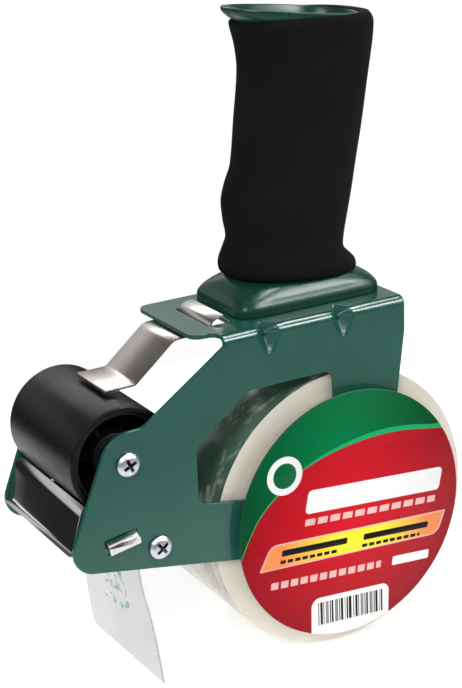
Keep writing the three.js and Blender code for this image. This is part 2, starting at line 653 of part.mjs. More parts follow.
// The free tail hangs slightly twisted: its far side is forward, and its cut end runs up to the far side.
function tapeTail() {
  const g = acrossY(strip(tailPath, FILM), ROLL.near, ROLL.width);
  const p = g.attributes.position;
  const [top, low] = [tailPath[0][1], tailPath.at(-1)[1]];
  for (let i = 0; i < p.count; i += 1) {
    const share = (p.getY(i) - ROLL.near) / ROLL.width;
    const down = (top - p.getZ(i)) / (top - low);
    p.setX(i, p.getX(i) - TAIL_TWIST * share * THREE.MathUtils.smoothstep(down, 0, 0.86));
    p.setZ(i, p.getZ(i) + TAIL_SKEW * share * down ** 2);
  }
  return g;
}
piece('tape_tail', tapeTail(), CLEAR_FILM);

export default dispenser;
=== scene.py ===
import math

import bmesh
import bpy
from mathutils import Matrix, Vector
from mathutils.geometry import tessellate_polygon


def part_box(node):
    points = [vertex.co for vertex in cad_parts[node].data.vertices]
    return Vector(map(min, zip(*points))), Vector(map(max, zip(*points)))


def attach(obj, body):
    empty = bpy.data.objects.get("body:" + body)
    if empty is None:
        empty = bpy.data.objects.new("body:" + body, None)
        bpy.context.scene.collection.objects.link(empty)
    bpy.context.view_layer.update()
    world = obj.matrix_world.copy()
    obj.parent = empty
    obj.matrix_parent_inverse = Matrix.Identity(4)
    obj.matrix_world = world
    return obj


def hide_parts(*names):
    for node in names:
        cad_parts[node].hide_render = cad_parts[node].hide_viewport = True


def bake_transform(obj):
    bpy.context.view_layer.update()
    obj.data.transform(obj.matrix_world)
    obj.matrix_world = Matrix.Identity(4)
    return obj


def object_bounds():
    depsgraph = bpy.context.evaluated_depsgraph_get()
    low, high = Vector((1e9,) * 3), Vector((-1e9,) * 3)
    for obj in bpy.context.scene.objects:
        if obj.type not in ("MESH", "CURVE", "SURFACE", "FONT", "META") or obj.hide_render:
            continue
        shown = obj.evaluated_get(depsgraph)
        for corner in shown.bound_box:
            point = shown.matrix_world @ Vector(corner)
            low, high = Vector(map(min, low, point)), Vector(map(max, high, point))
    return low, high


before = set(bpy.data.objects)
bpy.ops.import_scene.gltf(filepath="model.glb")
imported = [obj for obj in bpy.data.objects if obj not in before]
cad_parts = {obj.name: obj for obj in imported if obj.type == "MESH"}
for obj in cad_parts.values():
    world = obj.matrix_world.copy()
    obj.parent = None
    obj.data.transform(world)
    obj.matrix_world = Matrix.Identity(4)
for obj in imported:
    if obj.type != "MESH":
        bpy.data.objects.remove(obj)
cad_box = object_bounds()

# Lengths below are millimetres in the dispenser's own axes: X towards the back, Y across the tape,
# Z up, with y = 0 on the outer face of the side plate and the reel axis at x = z = 0.
MM = 0.001
PLATE_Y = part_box("main_frame")[0].y


def node_box(name):
    """A CAD node's lowest and highest corners in millimetres, y from the side plate's outer face."""
    low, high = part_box(name)
    shift = Vector((0, PLATE_Y, 0))
    return (low - shift) / MM, (high - shift) / MM


FRAME_LOW, FRAME_HIGH = node_box("main_frame")
TOP_Z = FRAME_HIGH.z
BACK_X = FRAME_HIGH.x
FLANGE_Y = FRAME_HIGH.y
ARM_LOW, ARM_HIGH = node_box("far_arm")
SHEET = ARM_HIGH.y - ARM_LOW.y
INNER_NEAR = SHEET + 0.3
INNER_FAR = ARM_LOW.y - 0.3
ROLLER_LOW, ROLLER_HIGH = node_box("roller_sleeve")
ROLLER_X = (ROLLER_LOW.x + ROLLER_HIGH.x) / 2
ROLLER_Z = (ROLLER_LOW.z + ROLLER_HIGH.z) / 2
ROLLER_R = (ROLLER_HIGH.z - ROLLER_LOW.z) / 2
ROD_LOW, ROD_HIGH = node_box("spacer_rod")
ROD_X = (ROD_LOW.x + ROD_HIGH.x) / 2
ROD_Z = (ROD_LOW.z + ROD_HIGH.z) / 2
ROLL_LOW, ROLL_HIGH = node_box("tape_roll")
ROLL_R = ROLL_HIGH.x
LABEL_LOW, LABEL_HIGH = node_box("label_disc")
WIPER_LOW, WIPER_HIGH = node_box("wiper")
WEB_LOW, WEB_HIGH = node_box("tape_web")

# Where materials change, in millimetres.
SKIN_DEPTH = 0.18           # the roll's outer turn, as opposed to its end faces
CARD_RIM = 0.6              # the label's cut edge
# The same in metres, because materials read places in metres.
SEAM_TURNS_PER_METRE = 14
TAIL_FROM_Z = 0.008
INK_PATCH_Y = (0.022, 0.042)
INK_PATCH_Z = -0.026
BAND_START_X, BAND_WIDTH = 0.0385, 0.078
FIELD_SLOPE, FIELD_HEIGHT = 0.34, 0.0103    # line between the label's red and green at its rim
INK_GLOSS = {"Roughness": 0.4, "Specular_IOR_Level": 0.08}


# --- camera and light
def linked(name, data):
    holder = bpy.data.objects.new(name, data)
    bpy.context.scene.collection.objects.link(holder)
    return holder


CAMERA_ANGLES = (-29.3, 19.3, -2.5)     # azimuth, elevation and roll in degrees
CAMERA_AIM = (-23.4, 35.9, 56.7)
CAMERA_DISTANCE = 593


def make_camera():
    a, e, r = (math.radians(v) for v in CAMERA_ANGLES)
    back = Vector((math.sin(a) * math.cos(e), -math.cos(a) * math.cos(e), math.sin(e)))
    level = Vector((math.cos(a), math.sin(a), 0))
    upright = back.cross(level)
    right = level * math.cos(r) + upright * math.sin(r)
    up = upright * math.cos(r) - level * math.sin(r)
    camera = bpy.data.cameras.new("camera")
    camera.lens = 88.2
    camera.sensor_width = 36
    camera.clip_start = 0.01
    holder = linked("camera", camera)
    rotation = Matrix((right, up, back)).transposed().to_4x4()
    place = (Vector(CAMERA_AIM) + back * CAMERA_DISTANCE) * MM + Vector((0, PLATE_Y, 0))
    holder.matrix_world = Matrix.Translation(place) @ rotation
    bpy.context.scene.camera = holder


def area_light(name, place, target, size, power):
    lamp = bpy.data.lights.new(name, "AREA")
    lamp.shape = "RECTANGLE"
    lamp.size, lamp.size_y = size
    lamp.energy = power
    holder = linked(name, lamp)
    holder.location = place
    direction = Vector(target) - Vector(place)
    holder.rotation_euler = direction.to_track_quat("-Z", "Y").to_euler()


# --- node helpers
class Nodes:
    """Small builder for a node tree."""

    def __init__(self, tree):
        self.tree = tree
        self.shader = tree.nodes.get("Principled BSDF")

    def add(self, kind, inputs=None, **settings):
        node = self.tree.nodes.new(kind)
        for key, value in settings.items():
            setattr(node, key, value)
        for key, value in (inputs or {}).items():
            self.set(node, key, value)
        return node

    def set(self, node, key, value):
        if isinstance(value, bpy.types.NodeSocket):
            self.tree.links.new(value, node.inputs[key])
        else:
            node.inputs[key].default_value = value

    def math(self, operation, *values, clamp=False):
        node = self.add("ShaderNodeMath", dict(enumerate(values)), operation=operation, use_clamp=clamp)
        return node.outputs[0]

    def plus(self, a, b):
        return self.math("ADD", a, b)

    def minus(self, a, b):
        return self.math("SUBTRACT", a, b)

    def times(self, a, b):
        return self.math("MULTIPLY", a, b)

    def above(self, a, b):
        return self.math("GREATER_THAN", a, b)

    def below(self, a, b):
        return self.math("LESS_THAN", a, b)

    def near(self, value, middle, reach):
        return self.below(self.math("ABSOLUTE", self.minus(value, middle)), reach)

    def scaled(self, base, span, value):
        """The base, plus the value's share of the span."""
        return self.plus(base, self.times(value, span))

    def radius(self, x, z):
        return self.math("SQRT", self.plus(self.times(x, x), self.times(z, z)))

    def noise(self, vector, scale, detail=3, roughness=0.5):
        node = self.add("ShaderNodeTexNoise", {"Vector": vector, "Scale": scale, "Detail": detail,
                                               "Roughness": roughness})
        return node.outputs["Fac"]

    def cells(self, vector, scale):
        return self.add("ShaderNodeTexVoronoi", {"Vector": vector, "Scale": scale}).outputs["Distance"]

    def ramp(self, value, stops):
        node = self.add("ShaderNodeValToRGB", {"Fac": value})
        elements = node.color_ramp.elements
        while len(elements) < len(stops):
            elements.new(0.5)
        for element, (position, color) in zip(elements, stops):
            element.position = position
            element.color = (*color, 1)
        return node.outputs["Color"]

    def mask(self, value, low, high):
        """Black up to low, white from high."""
        return self.ramp(value, [(low, (0, 0, 0)), (high, (1, 1, 1))])

    def mix(self, factor, first, second):
        node = self.add("ShaderNodeMix", data_type="RGBA")
        for socket, value in ((0, factor), (6, first), (7, second)):
            self.set(node, socket, value)
        return node.outputs[2]

    def bump(self, height, strength, distance):
        inputs = {"Height": height, "Strength": strength, "Distance": distance}
        return self.add("ShaderNodeBump", inputs).outputs["Normal"]

    def place(self):
        """Object coordinates in metres."""
        return self.add("ShaderNodeTexCoord").outputs["Object"]

    def split(self, vector):
        return self.add("ShaderNodeSeparateXYZ", {0: vector}).outputs[:3]

    def stretch(self, vector, scale):
        return self.add("ShaderNodeMapping", {"Vector": vector, "Scale": scale}).outputs[0]

    def surface(self, color, relief, roughness=None):
        self.set(self.shader, "Base Color", color)
        self.set(self.shader, "Normal", relief)
        if roughness is not None:
            self.set(self.shader, "Roughness", roughness)


def srgb(r, g, b):
    """An 8-bit sRGB colour as linear values."""
    return tuple((c / 255 / 12.92) if c <= 10 else ((c / 255 + 0.055) / 1.055) ** 2.4 for c in (r, g, b))


def tinted(color, factor):
    return tuple(min(1, c * factor) for c in color)


def new_material(name, **sockets):
    material = bpy.data.materials.new(name)
    material.use_nodes = True
    n = Nodes(material.node_tree)
    for key, value in sockets.items():
        n.shader.inputs[key.replace("_", " ")].default_value = value
    return material, n


def painted(name, color, roughness, peel, peel_scale, mottle=0.08, specks=0.0, specular=0.5):
    """Paint or plastic: colour mottle, roughness clouds, fine surface relief and sparse specks."""
    material, n = new_material(name, Specular_IOR_Level=specular)
    where = n.place()
    base = n.ramp(n.noise(where, 45, 4), [(0.3, tinted(color, 1 - mottle)), (0.7, tinted(color, 1 + mottle))])
    if specks:
        dust = n.mask(n.noise(where, 1400, 1), 0.70, 0.76)
        base = n.mix(n.times(dust, specks), base, (*tinted(color, 3.5), 1))
    low, high = roughness
    n.surface(base, n.bump(n.noise(where, peel_scale, 2), peel, 0.0004),
              n.scaled(low, high - low, n.noise(where, 260, 3)))
    return material


def metal(name, color, roughness, brush=(60, 60, 60), relief=0.05):
    """Bright metal with fine drawn lines and faint smears."""
    material, n = new_material(name, Metallic=1.0)
    where = n.place()
    lines = n.noise(n.stretch(where, brush), 22, 5, 0.7)
    smear = n.noise(where, 70, 3)
    low, high = roughness
    n.surface(n.ramp(smear, [(0.3, tinted(color, 0.93)), (0.7, color)]), n.bump(lines, relief, 0.0002),
              n.scaled(low, high - low, n.times(n.plus(lines, smear), 0.5)))
    return material


def foam_material():
    """Closed-cell foam: packed cells, a few torn ones and faint scuffs."""
    material, n = new_material("foam", Specular_IOR_Level=0.08)
    where = n.place()
    patch = n.noise(where, 30, 5)
    dark = srgb(19, 19, 20)
    base = n.ramp(patch, [(0.3, tinted(dark, 0.75)), (0.72, tinted(dark, 1.25))])
    scuff = n.mask(n.noise(n.stretch(where, (1, 1, 0.35)), 320, 4, 0.65), 0.72, 0.8)
    base = n.mix(n.times(scuff, 0.3), base, (*srgb(46, 46, 48), 1))
    height = n.plus(n.times(n.cells(where, 1500), 0.7), n.cells(where, 560))
    n.surface(base, n.bump(height, 0.55, 0.00025), n.scaled(0.78, 0.18, patch))
    return material


def rubber_material():
    """Roller rubber: satin, with faint rings left by turning and a little tape dust."""
    material, n = new_material("roller_rubber", Specular_IOR_Level=0.16)
    where = n.place()
    rings = n.noise(n.stretch(where, (0.02, 1, 0.02)), 900, 3)
    dust = n.noise(where, 120, 5, 0.65)
    base = n.ramp(dust, [(0.35, srgb(12, 12, 13)), (0.75, srgb(20, 20, 21))])
    n.surface(base, n.bump(rings, 0.12, 0.0002), n.scaled(0.27, 0.14, dust))
    return material


def roll_material():
    """Wound clear film: cloudy, ringed ends and a streaked outer turn, with painted shade and a painted green
    reflection of the frame towards the front and top.
    """
    material, n = new_material("wound_film", Coat_Weight=0.2, Coat_Roughness=0.12, Subsurface_Weight=0.15,
                               Subsurface_Scale=0.004, Subsurface_Radius=(1.0, 0.9, 0.7))
    where = n.place()
    x, y, z = n.split(where)
    radius = n.radius(x, z)
    outwards = n.add("ShaderNodeCombineXYZ", {0: radius}).outputs[0]
    rings = n.noise(outwards, 2600, 4, 0.7)
    bands = n.noise(outwards, 420, 3, 0.6)
    cloud = n.noise(where, 40, 4)
    side = n.ramp(n.plus(n.times(bands, 0.6), n.times(cloud, 0.4)),
                  [(0.3, srgb(219, 213, 199)), (0.5, srgb(228, 223, 210)), (0.72, srgb(237, 233, 222))])
    streak = n.noise(n.stretch(where, (1, 1.7, 1)), 62, 7, 0.62)
    cream = n.ramp(streak, [(0.3, srgb(112, 120, 108)), (0.44, srgb(184, 181, 167)),
                            (0.62, srgb(216, 211, 197))])
    # painted shade: the frame's shadow and green reflection, drawn as dark green streaks on the outer turn
    painted_shade = n.ramp(streak, [(0.38, srgb(62, 94, 79)), (0.54, srgb(74, 102, 87)), (0.68, srgb(196, 194, 180))])
    # 1 in the direction halfway between the front and the top
    towards = n.math("DIVIDE", n.minus(z, x), n.times(radius, math.sqrt(2)))
    # the outer turn takes the painted shade towards the front and top
    skin = n.mix(n.mask(n.scaled(towards, 0.12, cloud), 0.74, 0.84), cream, painted_shade)
    outer = n.above(radius, (ROLL_R - SKIN_DEPTH) * MM)
    n.surface(n.mix(outer, side, skin), n.bump(rings, 0.1, 0.0002), n.minus(0.42, n.times(outer, 0.24)))
    return material


def board_material():
    """Spiral-wound grey board: long fibres, a wound seam and a fuzzy cut end."""
    material, n = new_material("core_board")
    where = n.place()
    x, y, z = n.split(where)
    angle = n.math("ARCTAN2", z, x)
    seam = n.math("FRACT", n.scaled(n.math("DIVIDE", angle, 2 * math.pi), SEAM_TURNS_PER_METRE, y))
    edge = n.ramp(seam, [(0.0, (0, 0, 0)), (0.02, (1, 1, 1)), (0.98, (1, 1, 1)), (1.0, (0, 0, 0))])
    fibre = n.noise(n.stretch(where, (1, 0.25, 1)), 700, 5, 0.7)
    color = n.ramp(fibre, [(0.3, srgb(142, 116, 84)), (0.7, srgb(186, 158, 120))])
    n.surface(n.mix(edge, (*srgb(112, 90, 64), 1), color), n.bump(fibre, 0.4, 0.0003),
              n.scaled(0.78, 0.15, fibre))
    return material


def clear_film_material():
    """Thin clear film: nearly invisible on the roller, greyer with faint green print on the loose end."""
    material, n = new_material("clear_film", Roughness=0.08, Coat_Weight=0.4, IOR=1.5)
    where = n.place()
    x, y, z = n.split(where)
    wrinkle = n.noise(n.stretch(where, (1, 1, 0.3)), 160, 3)
    tail = n.below(z, TAIL_FROM_Z)
    patch_y = n.times(n.above(y, INK_PATCH_Y[0]), n.below(y, INK_PATCH_Y[1]))
    patch_z = n.times(n.above(z, INK_PATCH_Z), tail)
    strokes = n.mask(n.noise(n.stretch(where, (1, 1.2, 1)), 260, 3, 0.6), 0.52, 0.56)
    ink = n.times(n.times(patch_y, patch_z), strokes)
    clear = n.ramp(wrinkle, [(0.3, srgb(88, 88, 88)), (0.7, srgb(100, 101, 100))])
    n.surface(n.mix(ink, clear, (*srgb(20, 170, 120), 1)), n.bump(wrinkle, 0.12, 0.0004))
    n.set(n.shader, "Alpha", n.scaled(n.scaled(0.012, 0.24, tail), 0.46, ink))
    return material


def print_relief(n, where):
    return n.bump(n.noise(where, 60, 2), 0.05, 0.0004)


def halftone(n, where):
    return n.minus(n.noise(where, 3200, 1), 0.5)


def ink_material(name, inner, rim, centre=(0.004, -0.002), reach=0.05):
    """Printed colour that darkens away from a centre, with fine halftone grain."""
    material, n = new_material(name, **INK_GLOSS)
    where = n.place()
    x, y, z = n.split(where)
    distance = n.radius(n.minus(x, centre[0]), n.minus(z, centre[1]))
    fade = n.math("DIVIDE", distance, reach, clamp=True)
    n.surface(n.ramp(n.scaled(fade, 0.12, halftone(n, where)), [(0.15, inner), (1.0, rim)]),
              print_relief(n, where))
    return material


def band_material():
    """The slanted band: orange at both ends, yellow in the middle."""
    material, n = new_material("ink_band", **INK_GLOSS)
    where = n.place()
    x, y, z = n.split(where)
    along = n.math("DIVIDE", n.plus(x, BAND_START_X), BAND_WIDTH)
    orange, yellow = srgb(244, 146, 88), srgb(255, 238, 60)
    n.surface(n.ramp(n.scaled(along, 0.05, halftone(n, where)),
                     [(0.12, orange), (0.42, yellow), (0.66, yellow), (0.9, orange)]), print_relief(n, where))
    return material


def card_material():
    """The label's card, with the print's green and red carried round its cut edge."""
    material, n = new_material("label_card", Roughness=0.55)
    where = n.place()
    x, y, z = n.split(where)
    edge = n.above(n.radius(x, z), (LABEL_HIGH.x - CARD_RIM) * MM)
    above = n.above(n.minus(z, n.times(x, FIELD_SLOPE)), FIELD_HEIGHT)
    fibre = n.noise(where, 1200, 2)
    paper = n.ramp(fibre, [(0.3, srgb(226, 224, 217)), (0.7, srgb(242, 240, 235))])
    printed = n.mix(above, (*srgb(132, 14, 24), 1), (*srgb(0, 74, 42), 1))
    n.surface(n.mix(edge, paper, printed), n.bump(fibre, 0.15, 0.0003))
    return material


# --- shape helpers
def rounded(corners, step=12):
    """Points of a closed outline from corners (u, v, fillet radius); step is degrees on the arcs."""
    points = []
    count = len(corners)
    for i, corner in enumerate(corners):
        here = Vector(corner[:2])
        radius = corner[2] if len(corner) > 2 else 0
        back = (Vector(corners[i - 1][:2]) - here).normalized()
        ahead = (Vector(corners[(i + 1) % count][:2]) - here).normalized()
        if radius == 0:
            points.append(here)
            continue
        half = back.angle(ahead) / 2
        centre = here + (back + ahead).normalized() * (radius / math.sin(half))
        start = here + back * (radius / math.tan(half)) - centre
        sweep = math.pi - 2 * half
        turn = 1 if back.x * ahead.y - back.y * ahead.x < 0 else -1
        pieces = max(2, math.ceil(math.degrees(sweep) / step))
        for k in range(pieces + 1):
            a = turn * sweep * k / pieces
            swung = Vector((start.x * math.cos(a) - start.y * math.sin(a),
                            start.x * math.sin(a) + start.y * math.cos(a)))
            points.append(centre + swung)
    return points


def circle(u, v, r, count=32):
    return [Vector((u + r * math.cos(2 * math.pi * i / count), v + r * math.sin(2 * math.pi * i / count)))
            for i in range(count)]


def arc(cx, cz, r, start, end, count):
    """Points of an arc, angles in degrees."""
    angles = [math.radians(start + (end - start) * i / count) for i in range(count + 1)]
    return [(cx + r * math.cos(a), cz + r * math.sin(a)) for a in angles]


def signed_area(loop):
    return sum(a.x * b.y - b.x * a.y for a, b in zip(loop, loop[1:] + loop[:1])) / 2


def plate(outer, holes=(), thickness=1.6, bevel=0.3, steps=2):
    """A flat plate with rounded edges: vertices (u, v, w), w across the thickness, and faces."""
    loops = [list(outer) if signed_area(outer) > 0 else list(reversed(outer))]
    loops += [list(h) if signed_area(h) < 0 else list(reversed(h)) for h in holes]
    profile = []
    for k in range(steps + 1):
        a = math.pi / 2 * k / steps
        profile.append((bevel * (math.sin(a) - 1), thickness / 2 - bevel * (1 - math.cos(a))))
    profile += [(o, -w) for o, w in reversed(profile)]
    vertices, faces, caps = [], [], []
    for loop in loops:
        count = len(loop)
        outward = []
        for i, point in enumerate(loop):
            before = (point - loop[i - 1]).normalized()
            after = (loop[(i + 1) % count] - point).normalized()
            mean = (before + after).normalized()
            outward.append(Vector((mean.y, -mean.x)) / max(0.4, mean.dot(after)))
        first = len(vertices)
        for offset, w in profile:
            vertices += [(*(p + n * offset), w) for p, n in zip(loop, outward)]
        for ring in range(len(profile) - 1):
            for i in range(count):
                a, b = first + ring * count + i, first + ring * count + (i + 1) % count
                faces.append((a, a + count, b + count, b))
        caps.append((first, first + (len(profile) - 1) * count, count))
    flat = [[Vector((*vertices[first + i][:2], 0)) for i in range(count)] for first, _, count in caps]
    top = [first + i for first, _, count in caps for i in range(count)]
    bottom = [last + i for _, last, count in caps for i in range(count)]
    for a, b, c in tessellate_polygon(flat):
        pa, pb, pc = (vertices[top[i]] for i in (a, b, c))
        left = (pb[0] - pa[0]) * (pc[1] - pa[1]) - (pc[0] - pa[0]) * (pb[1] - pa[1]) > 0
        a, b, c = (a, b, c) if left else (a, c, b)
        faces.append((top[a], top[b], top[c]))
        faces.append((bottom[a], bottom[c], bottom[b]))
    return vertices, faces


def across(shape, near, far):
    """Stands a plate in the XZ plane between two values of y."""
    vertices, faces = shape
    middle = (near + far) / 2
    return [(u, middle - w, v) for u, v, w in vertices], faces


def extruded(outer, near, far, holes=(), bevel=0.3, steps=2):
    return across(plate(outer, holes, far - near, bevel, steps), near, far)


def turned(profile, segments=64, x=0, z=0):
    """A body of revolution about Y. The profile of (radius, y) ends on the axis or is closed."""
    on_axis = profile[0][0] < 1e-6
    rows = profile[1:-1] if on_axis else profile
    vertices, faces = [], []
    for r, y in rows:
        for i in range(segments):
            a = 2 * math.pi * i / segments
            vertices.append((x + r * math.cos(a), y, z + r * math.sin(a)))
    joined = range(len(rows) - 1) if on_axis else range(len(rows))
    for row in joined:
        below, above = row * segments, (row + 1) % len(rows) * segments
        for i in range(segments):
            j = (i + 1) % segments
            faces.append((below + i, above + i, above + j, below + j))
    if on_axis:
        for (r, y), row, flip in ((profile[0], 0, False), (profile[-1], len(rows) - 1, True)):
            pole = len(vertices)
            vertices.append((x, y, z))
            for i in range(segments):
                j = (i + 1) % segments
                a, b = row * segments + i, row * segments + j
                faces.append((pole, b, a) if flip else (pole, a, b))
    return vertices, faces


def box_corners(u0, u1, v0, v1, radius):
    return [(u0, v0, radius), (u1, v0, radius), (u1, v1, radius), (u0, v1, radius)]


def ring_profile(inner, outer, near, far, edge=0.3):
    return rounded(box_corners(inner, outer, near, far, edge), 30)


def strip_outline(path, thick):
    """Both sides of a bent strip of the given thickness, as one closed outline."""
    points = [Vector(p) for p in path]
    above, below = [], []
    for i, p in enumerate(points):
        into = (p - points[i - 1]).normalized() if i else (points[1] - p).normalized()
        out = (points[i + 1] - p).normalized() if i + 1 < len(points) else into
        mean = (into + out).normalized()
        normal = Vector((-mean.y, mean.x)) * (thick / 2 / max(0.3, mean.dot(out)))
        above.append(p + normal)
        below.append(p - normal)
    return above + list(reversed(below))


def smooth_path(points, per_span=6):
    """A smooth curve through the points (Catmull-Rom)."""
    result = []
    padded = [points[0], *points, points[-1]]
    for p0, p1, p2, p3 in zip(padded, padded[1:], padded[2:], padded[3:]):
        for k in range(per_span):
            t = k / per_span
            result.append(tuple(
                0.5 * (2 * b + (c - a) * t + (2 * a - 5 * b + 4 * c - d) * t * t
                       + (3 * b - a - 3 * c + d) * t ** 3)
                for a, b, c, d in zip(p0, p1, p2, p3)))
    result.append(tuple(points[-1]))
    return result


def lofted(rings):
    """A closed skin through rings of equal length, with its two ends filled."""
    count = len(rings[0])
    vertices = [tuple(p) for ring in rings for p in ring]
    faces = []
    for k in range(len(rings) - 1):
        for i in range(count):
            j = (i + 1) % count
            faces.append((k * count + i, k * count + j, (k + 1) * count + j, (k + 1) * count + i))
    for k, flip in ((0, True), (len(rings) - 1, False)):
        middle = sum((Vector(p) for p in rings[k]), Vector()) / count
        pole = len(vertices)
        vertices.append(tuple(middle))
        for i in range(count):
            a, b = k * count + i, k * count + (i + 1) % count
            faces.append((pole, b, a) if flip else (pole, a, b))
    return vertices, faces


def joined(*shapes):
    vertices, faces = [], []
    for more_vertices, more_faces in shapes:
        start = len(vertices)
        vertices += more_vertices
        faces += [tuple(i + start for i in face) for face in more_faces]
    return vertices, faces


def moved(shape, matrix):
    vertices, faces = shape
    return [tuple(matrix @ Vector(v)) for v in vertices], faces


def block(x0, x1, y0, y1, z0, z1):
    vertices = [(x, y, z) for x in (x0, x1) for y in (y0, y1) for z in (z0, z1)]
    faces = [(0, 1, 3, 2), (4, 6, 7, 5), (0, 4, 5, 1), (2, 3, 7, 6), (0, 2, 6, 4), (1, 5, 7, 3)]
    return vertices, faces


def blender_mesh(name, vertices, faces):
    """A Blender object with its faces turned outwards."""
    mesh = bpy.data.meshes.new(name)
    mesh.from_pydata(vertices, [], faces)
    bm = bmesh.new()
    bm.from_mesh(mesh)
    bmesh.ops.recalc_face_normals(bm, faces=bm.faces)
    bm.to_mesh(mesh)
    bm.free()
    return linked(name, mesh)


def add_piece(name, shape, body, material, nodes=(), sharp=35, weighted=False):
    """Makes a Blender object from a shape in millimetres and ties it to the CAD frame."""
    vertices, faces = shape
    piece = blender_mesh(name, [(x * MM, y * MM + PLATE_Y, z * MM) for x, y, z in vertices], faces)
    mesh = piece.data
    for single in material if isinstance(material, (list, tuple)) else [material]:
        mesh.materials.append(single)
    mesh.shade_smooth()
    mesh.set_sharp_from_angle(angle=math.radians(sharp))
    if weighted:
        modifier = piece.modifiers.new("weighted", "WEIGHTED_NORMAL")
        modifier.keep_sharp = True
        bake_modifiers(piece)
    if body:
        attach(piece, body)
    if nodes:
        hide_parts(*nodes)
    return piece


def bake_modifiers(piece):
    graph = bpy.context.evaluated_depsgraph_get()
    baked = bpy.data.meshes.new_from_object(piece.evaluated_get(graph), depsgraph=graph)
    piece.modifiers.clear()
    piece.data = baked


def restyle(node, material):
    """Gives a carried-over CAD node its finished material."""
    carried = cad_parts[node]
    for holder in carried.material_slots:
        holder.material = material


# --- materials
PAINT = painted("frame_paint", srgb(32, 86, 74), (0.14, 0.22), 0.06, 900, specular=0.42)
GREEN = painted("green_moulding", srgb(13, 60, 45), (0.24, 0.32), 0.05, 500, specular=0.38)
HUB_BLACK = painted("black_moulding", srgb(20, 20, 21), (0.42, 0.56), 0.22, 1600, specks=0.06, specular=0.25)
NYLON = painted("nylon", srgb(226, 222, 210), (0.38, 0.5), 0.15, 900, mottle=0.03)
CHROME = metal("chrome_sheet", srgb(214, 212, 210), (0.06, 0.16), (1, 26, 1))
SATIN = metal("satin_nickel", srgb(206, 200, 196), (0.22, 0.32), (1, 26, 1), relief=0.08)
# painted shade: a darker metal for the faces down in the screws' cross recesses
RECESS_SHADE = metal("screw_recess_painted_shade", srgb(52, 60, 78), (0.4, 0.55), (1, 1, 1), relief=0.1)
ZINC = metal("zinc_plate", srgb(212, 215, 221), (0.3, 0.44), (1, 1, 1), relief=0.12)
BLADE = metal("blade_steel", srgb(190, 190, 192), (0.18, 0.38), (30, 1, 1), relief=0.2)
FOAM = foam_material()
RUBBER = rubber_material()
FILM_ROLL = roll_material()
BOARD = board_material()
CLEAR = clear_film_material()
CARD = card_material()


# --- frame
BEND_R = 3
NEUTRAL = BEND_R - SHEET / 2
BEND_LENGTH = math.pi / 2 * NEUTRAL
BEND_Z = TOP_Z - BEND_R
DARTS = (-29.0, 0.4)
DART_HALF = 4.3
DART_DEPTH = 3.9
DART_REACH = 6.7
DART_MIDDLE = BEND_LENGTH / 2 - 1.4
HOLE_R = 2.3
BOSS_FRONT = (-89.6, 49.4, 11)
BOTTOM_FRONT = (-107.9, 5.3, 8)
ARM_BOSS_FRONT = (-90.4, 49.7, 11)
ARM_BOTTOM_FRONT = (-108.4, 5.3, 8)
HANDLE_SCREWS = [(node_box(f"handle_screw_{end}")[0].x + node_box(f"handle_screw_{end}")[1].x) / 2
                 for end in ("front", "rear")]
HANDLE_Y = (node_box("handle_screw_front")[0].y + node_box("handle_screw_front")[1].y) / 2

TAB = {"x": -87.2, "z": 12.1, "length": 11.4, "thick": 4.4, "tilt": 9.5, "proud": 2}
SHELF_THICK, SHELF_REACH = 2.2, 5


def tilted(u, v):
    """A point given along and square to the tilted blade holder."""
    c, s = math.cos(math.radians(TAB["tilt"])), math.sin(math.radians(TAB["tilt"]))
    return TAB["x"] + u * c - v * s, TAB["z"] + u * s + v * c


def tab_outline(clearance, corner):
    u, v = TAB["length"] / 2 + clearance, TAB["thick"] / 2 + clearance
    return rounded([(*tilted(*p), corner) for p in ((-u, -v), (u, -v), (u, v), (-u, v))], 30)


def arm_holes():
    return [circle(ROLLER_X, ROLLER_Z, HOLE_R), circle(ROD_X, ROD_Z, HOLE_R), tab_outline(0.3, 0.4)]


def lift(points):
    """Moves wall outline points from z to the flat pattern, where 0 is the start of the bend."""
    return [Vector((p.x, p.y - BEND_Z)) for p in points]


def flange_v(y):
    return BEND_LENGTH + y - BEND_R


def dart_depth(u, v):
    deepest = 0
    for x in DARTS:
        taper = 1 - abs(v - DART_MIDDLE) / DART_REACH
        if taper <= 0:
            continue
        across_dart = max(0, 1 - abs(u - x) / (DART_HALF * (0.2 + 0.8 * taper)))
        shoulder = 0.3 * math.exp(-((u - x) / 4.6) ** 2)
        deepest = max(deepest, taper ** 0.8 * (DART_DEPTH * across_dart + shoulder))
    return deepest


def bent(u, v, w):
    """Folds the flat pattern: the wall hangs below v = 0, the flange lies beyond the bend."""
    if v <= 0:
        y, z = SHEET / 2 - w, BEND_Z + v
        inward = Vector((1, -0.35))
    elif v < BEND_LENGTH:
        a = v / NEUTRAL
        y, z = BEND_R - (NEUTRAL + w) * math.cos(a), BEND_Z + (NEUTRAL + w) * math.sin(a)
        inward = Vector((math.cos(a) + 0.2, -math.sin(a) - 0.2))
    else:
        y, z = BEND_R + v - BEND_LENGTH, BEND_Z + NEUTRAL + w
        inward = Vector((0.35, -1))
    push = dart_depth(u, v)
    inward.normalize()
    return u, y + inward.x * push, z + inward.y * push


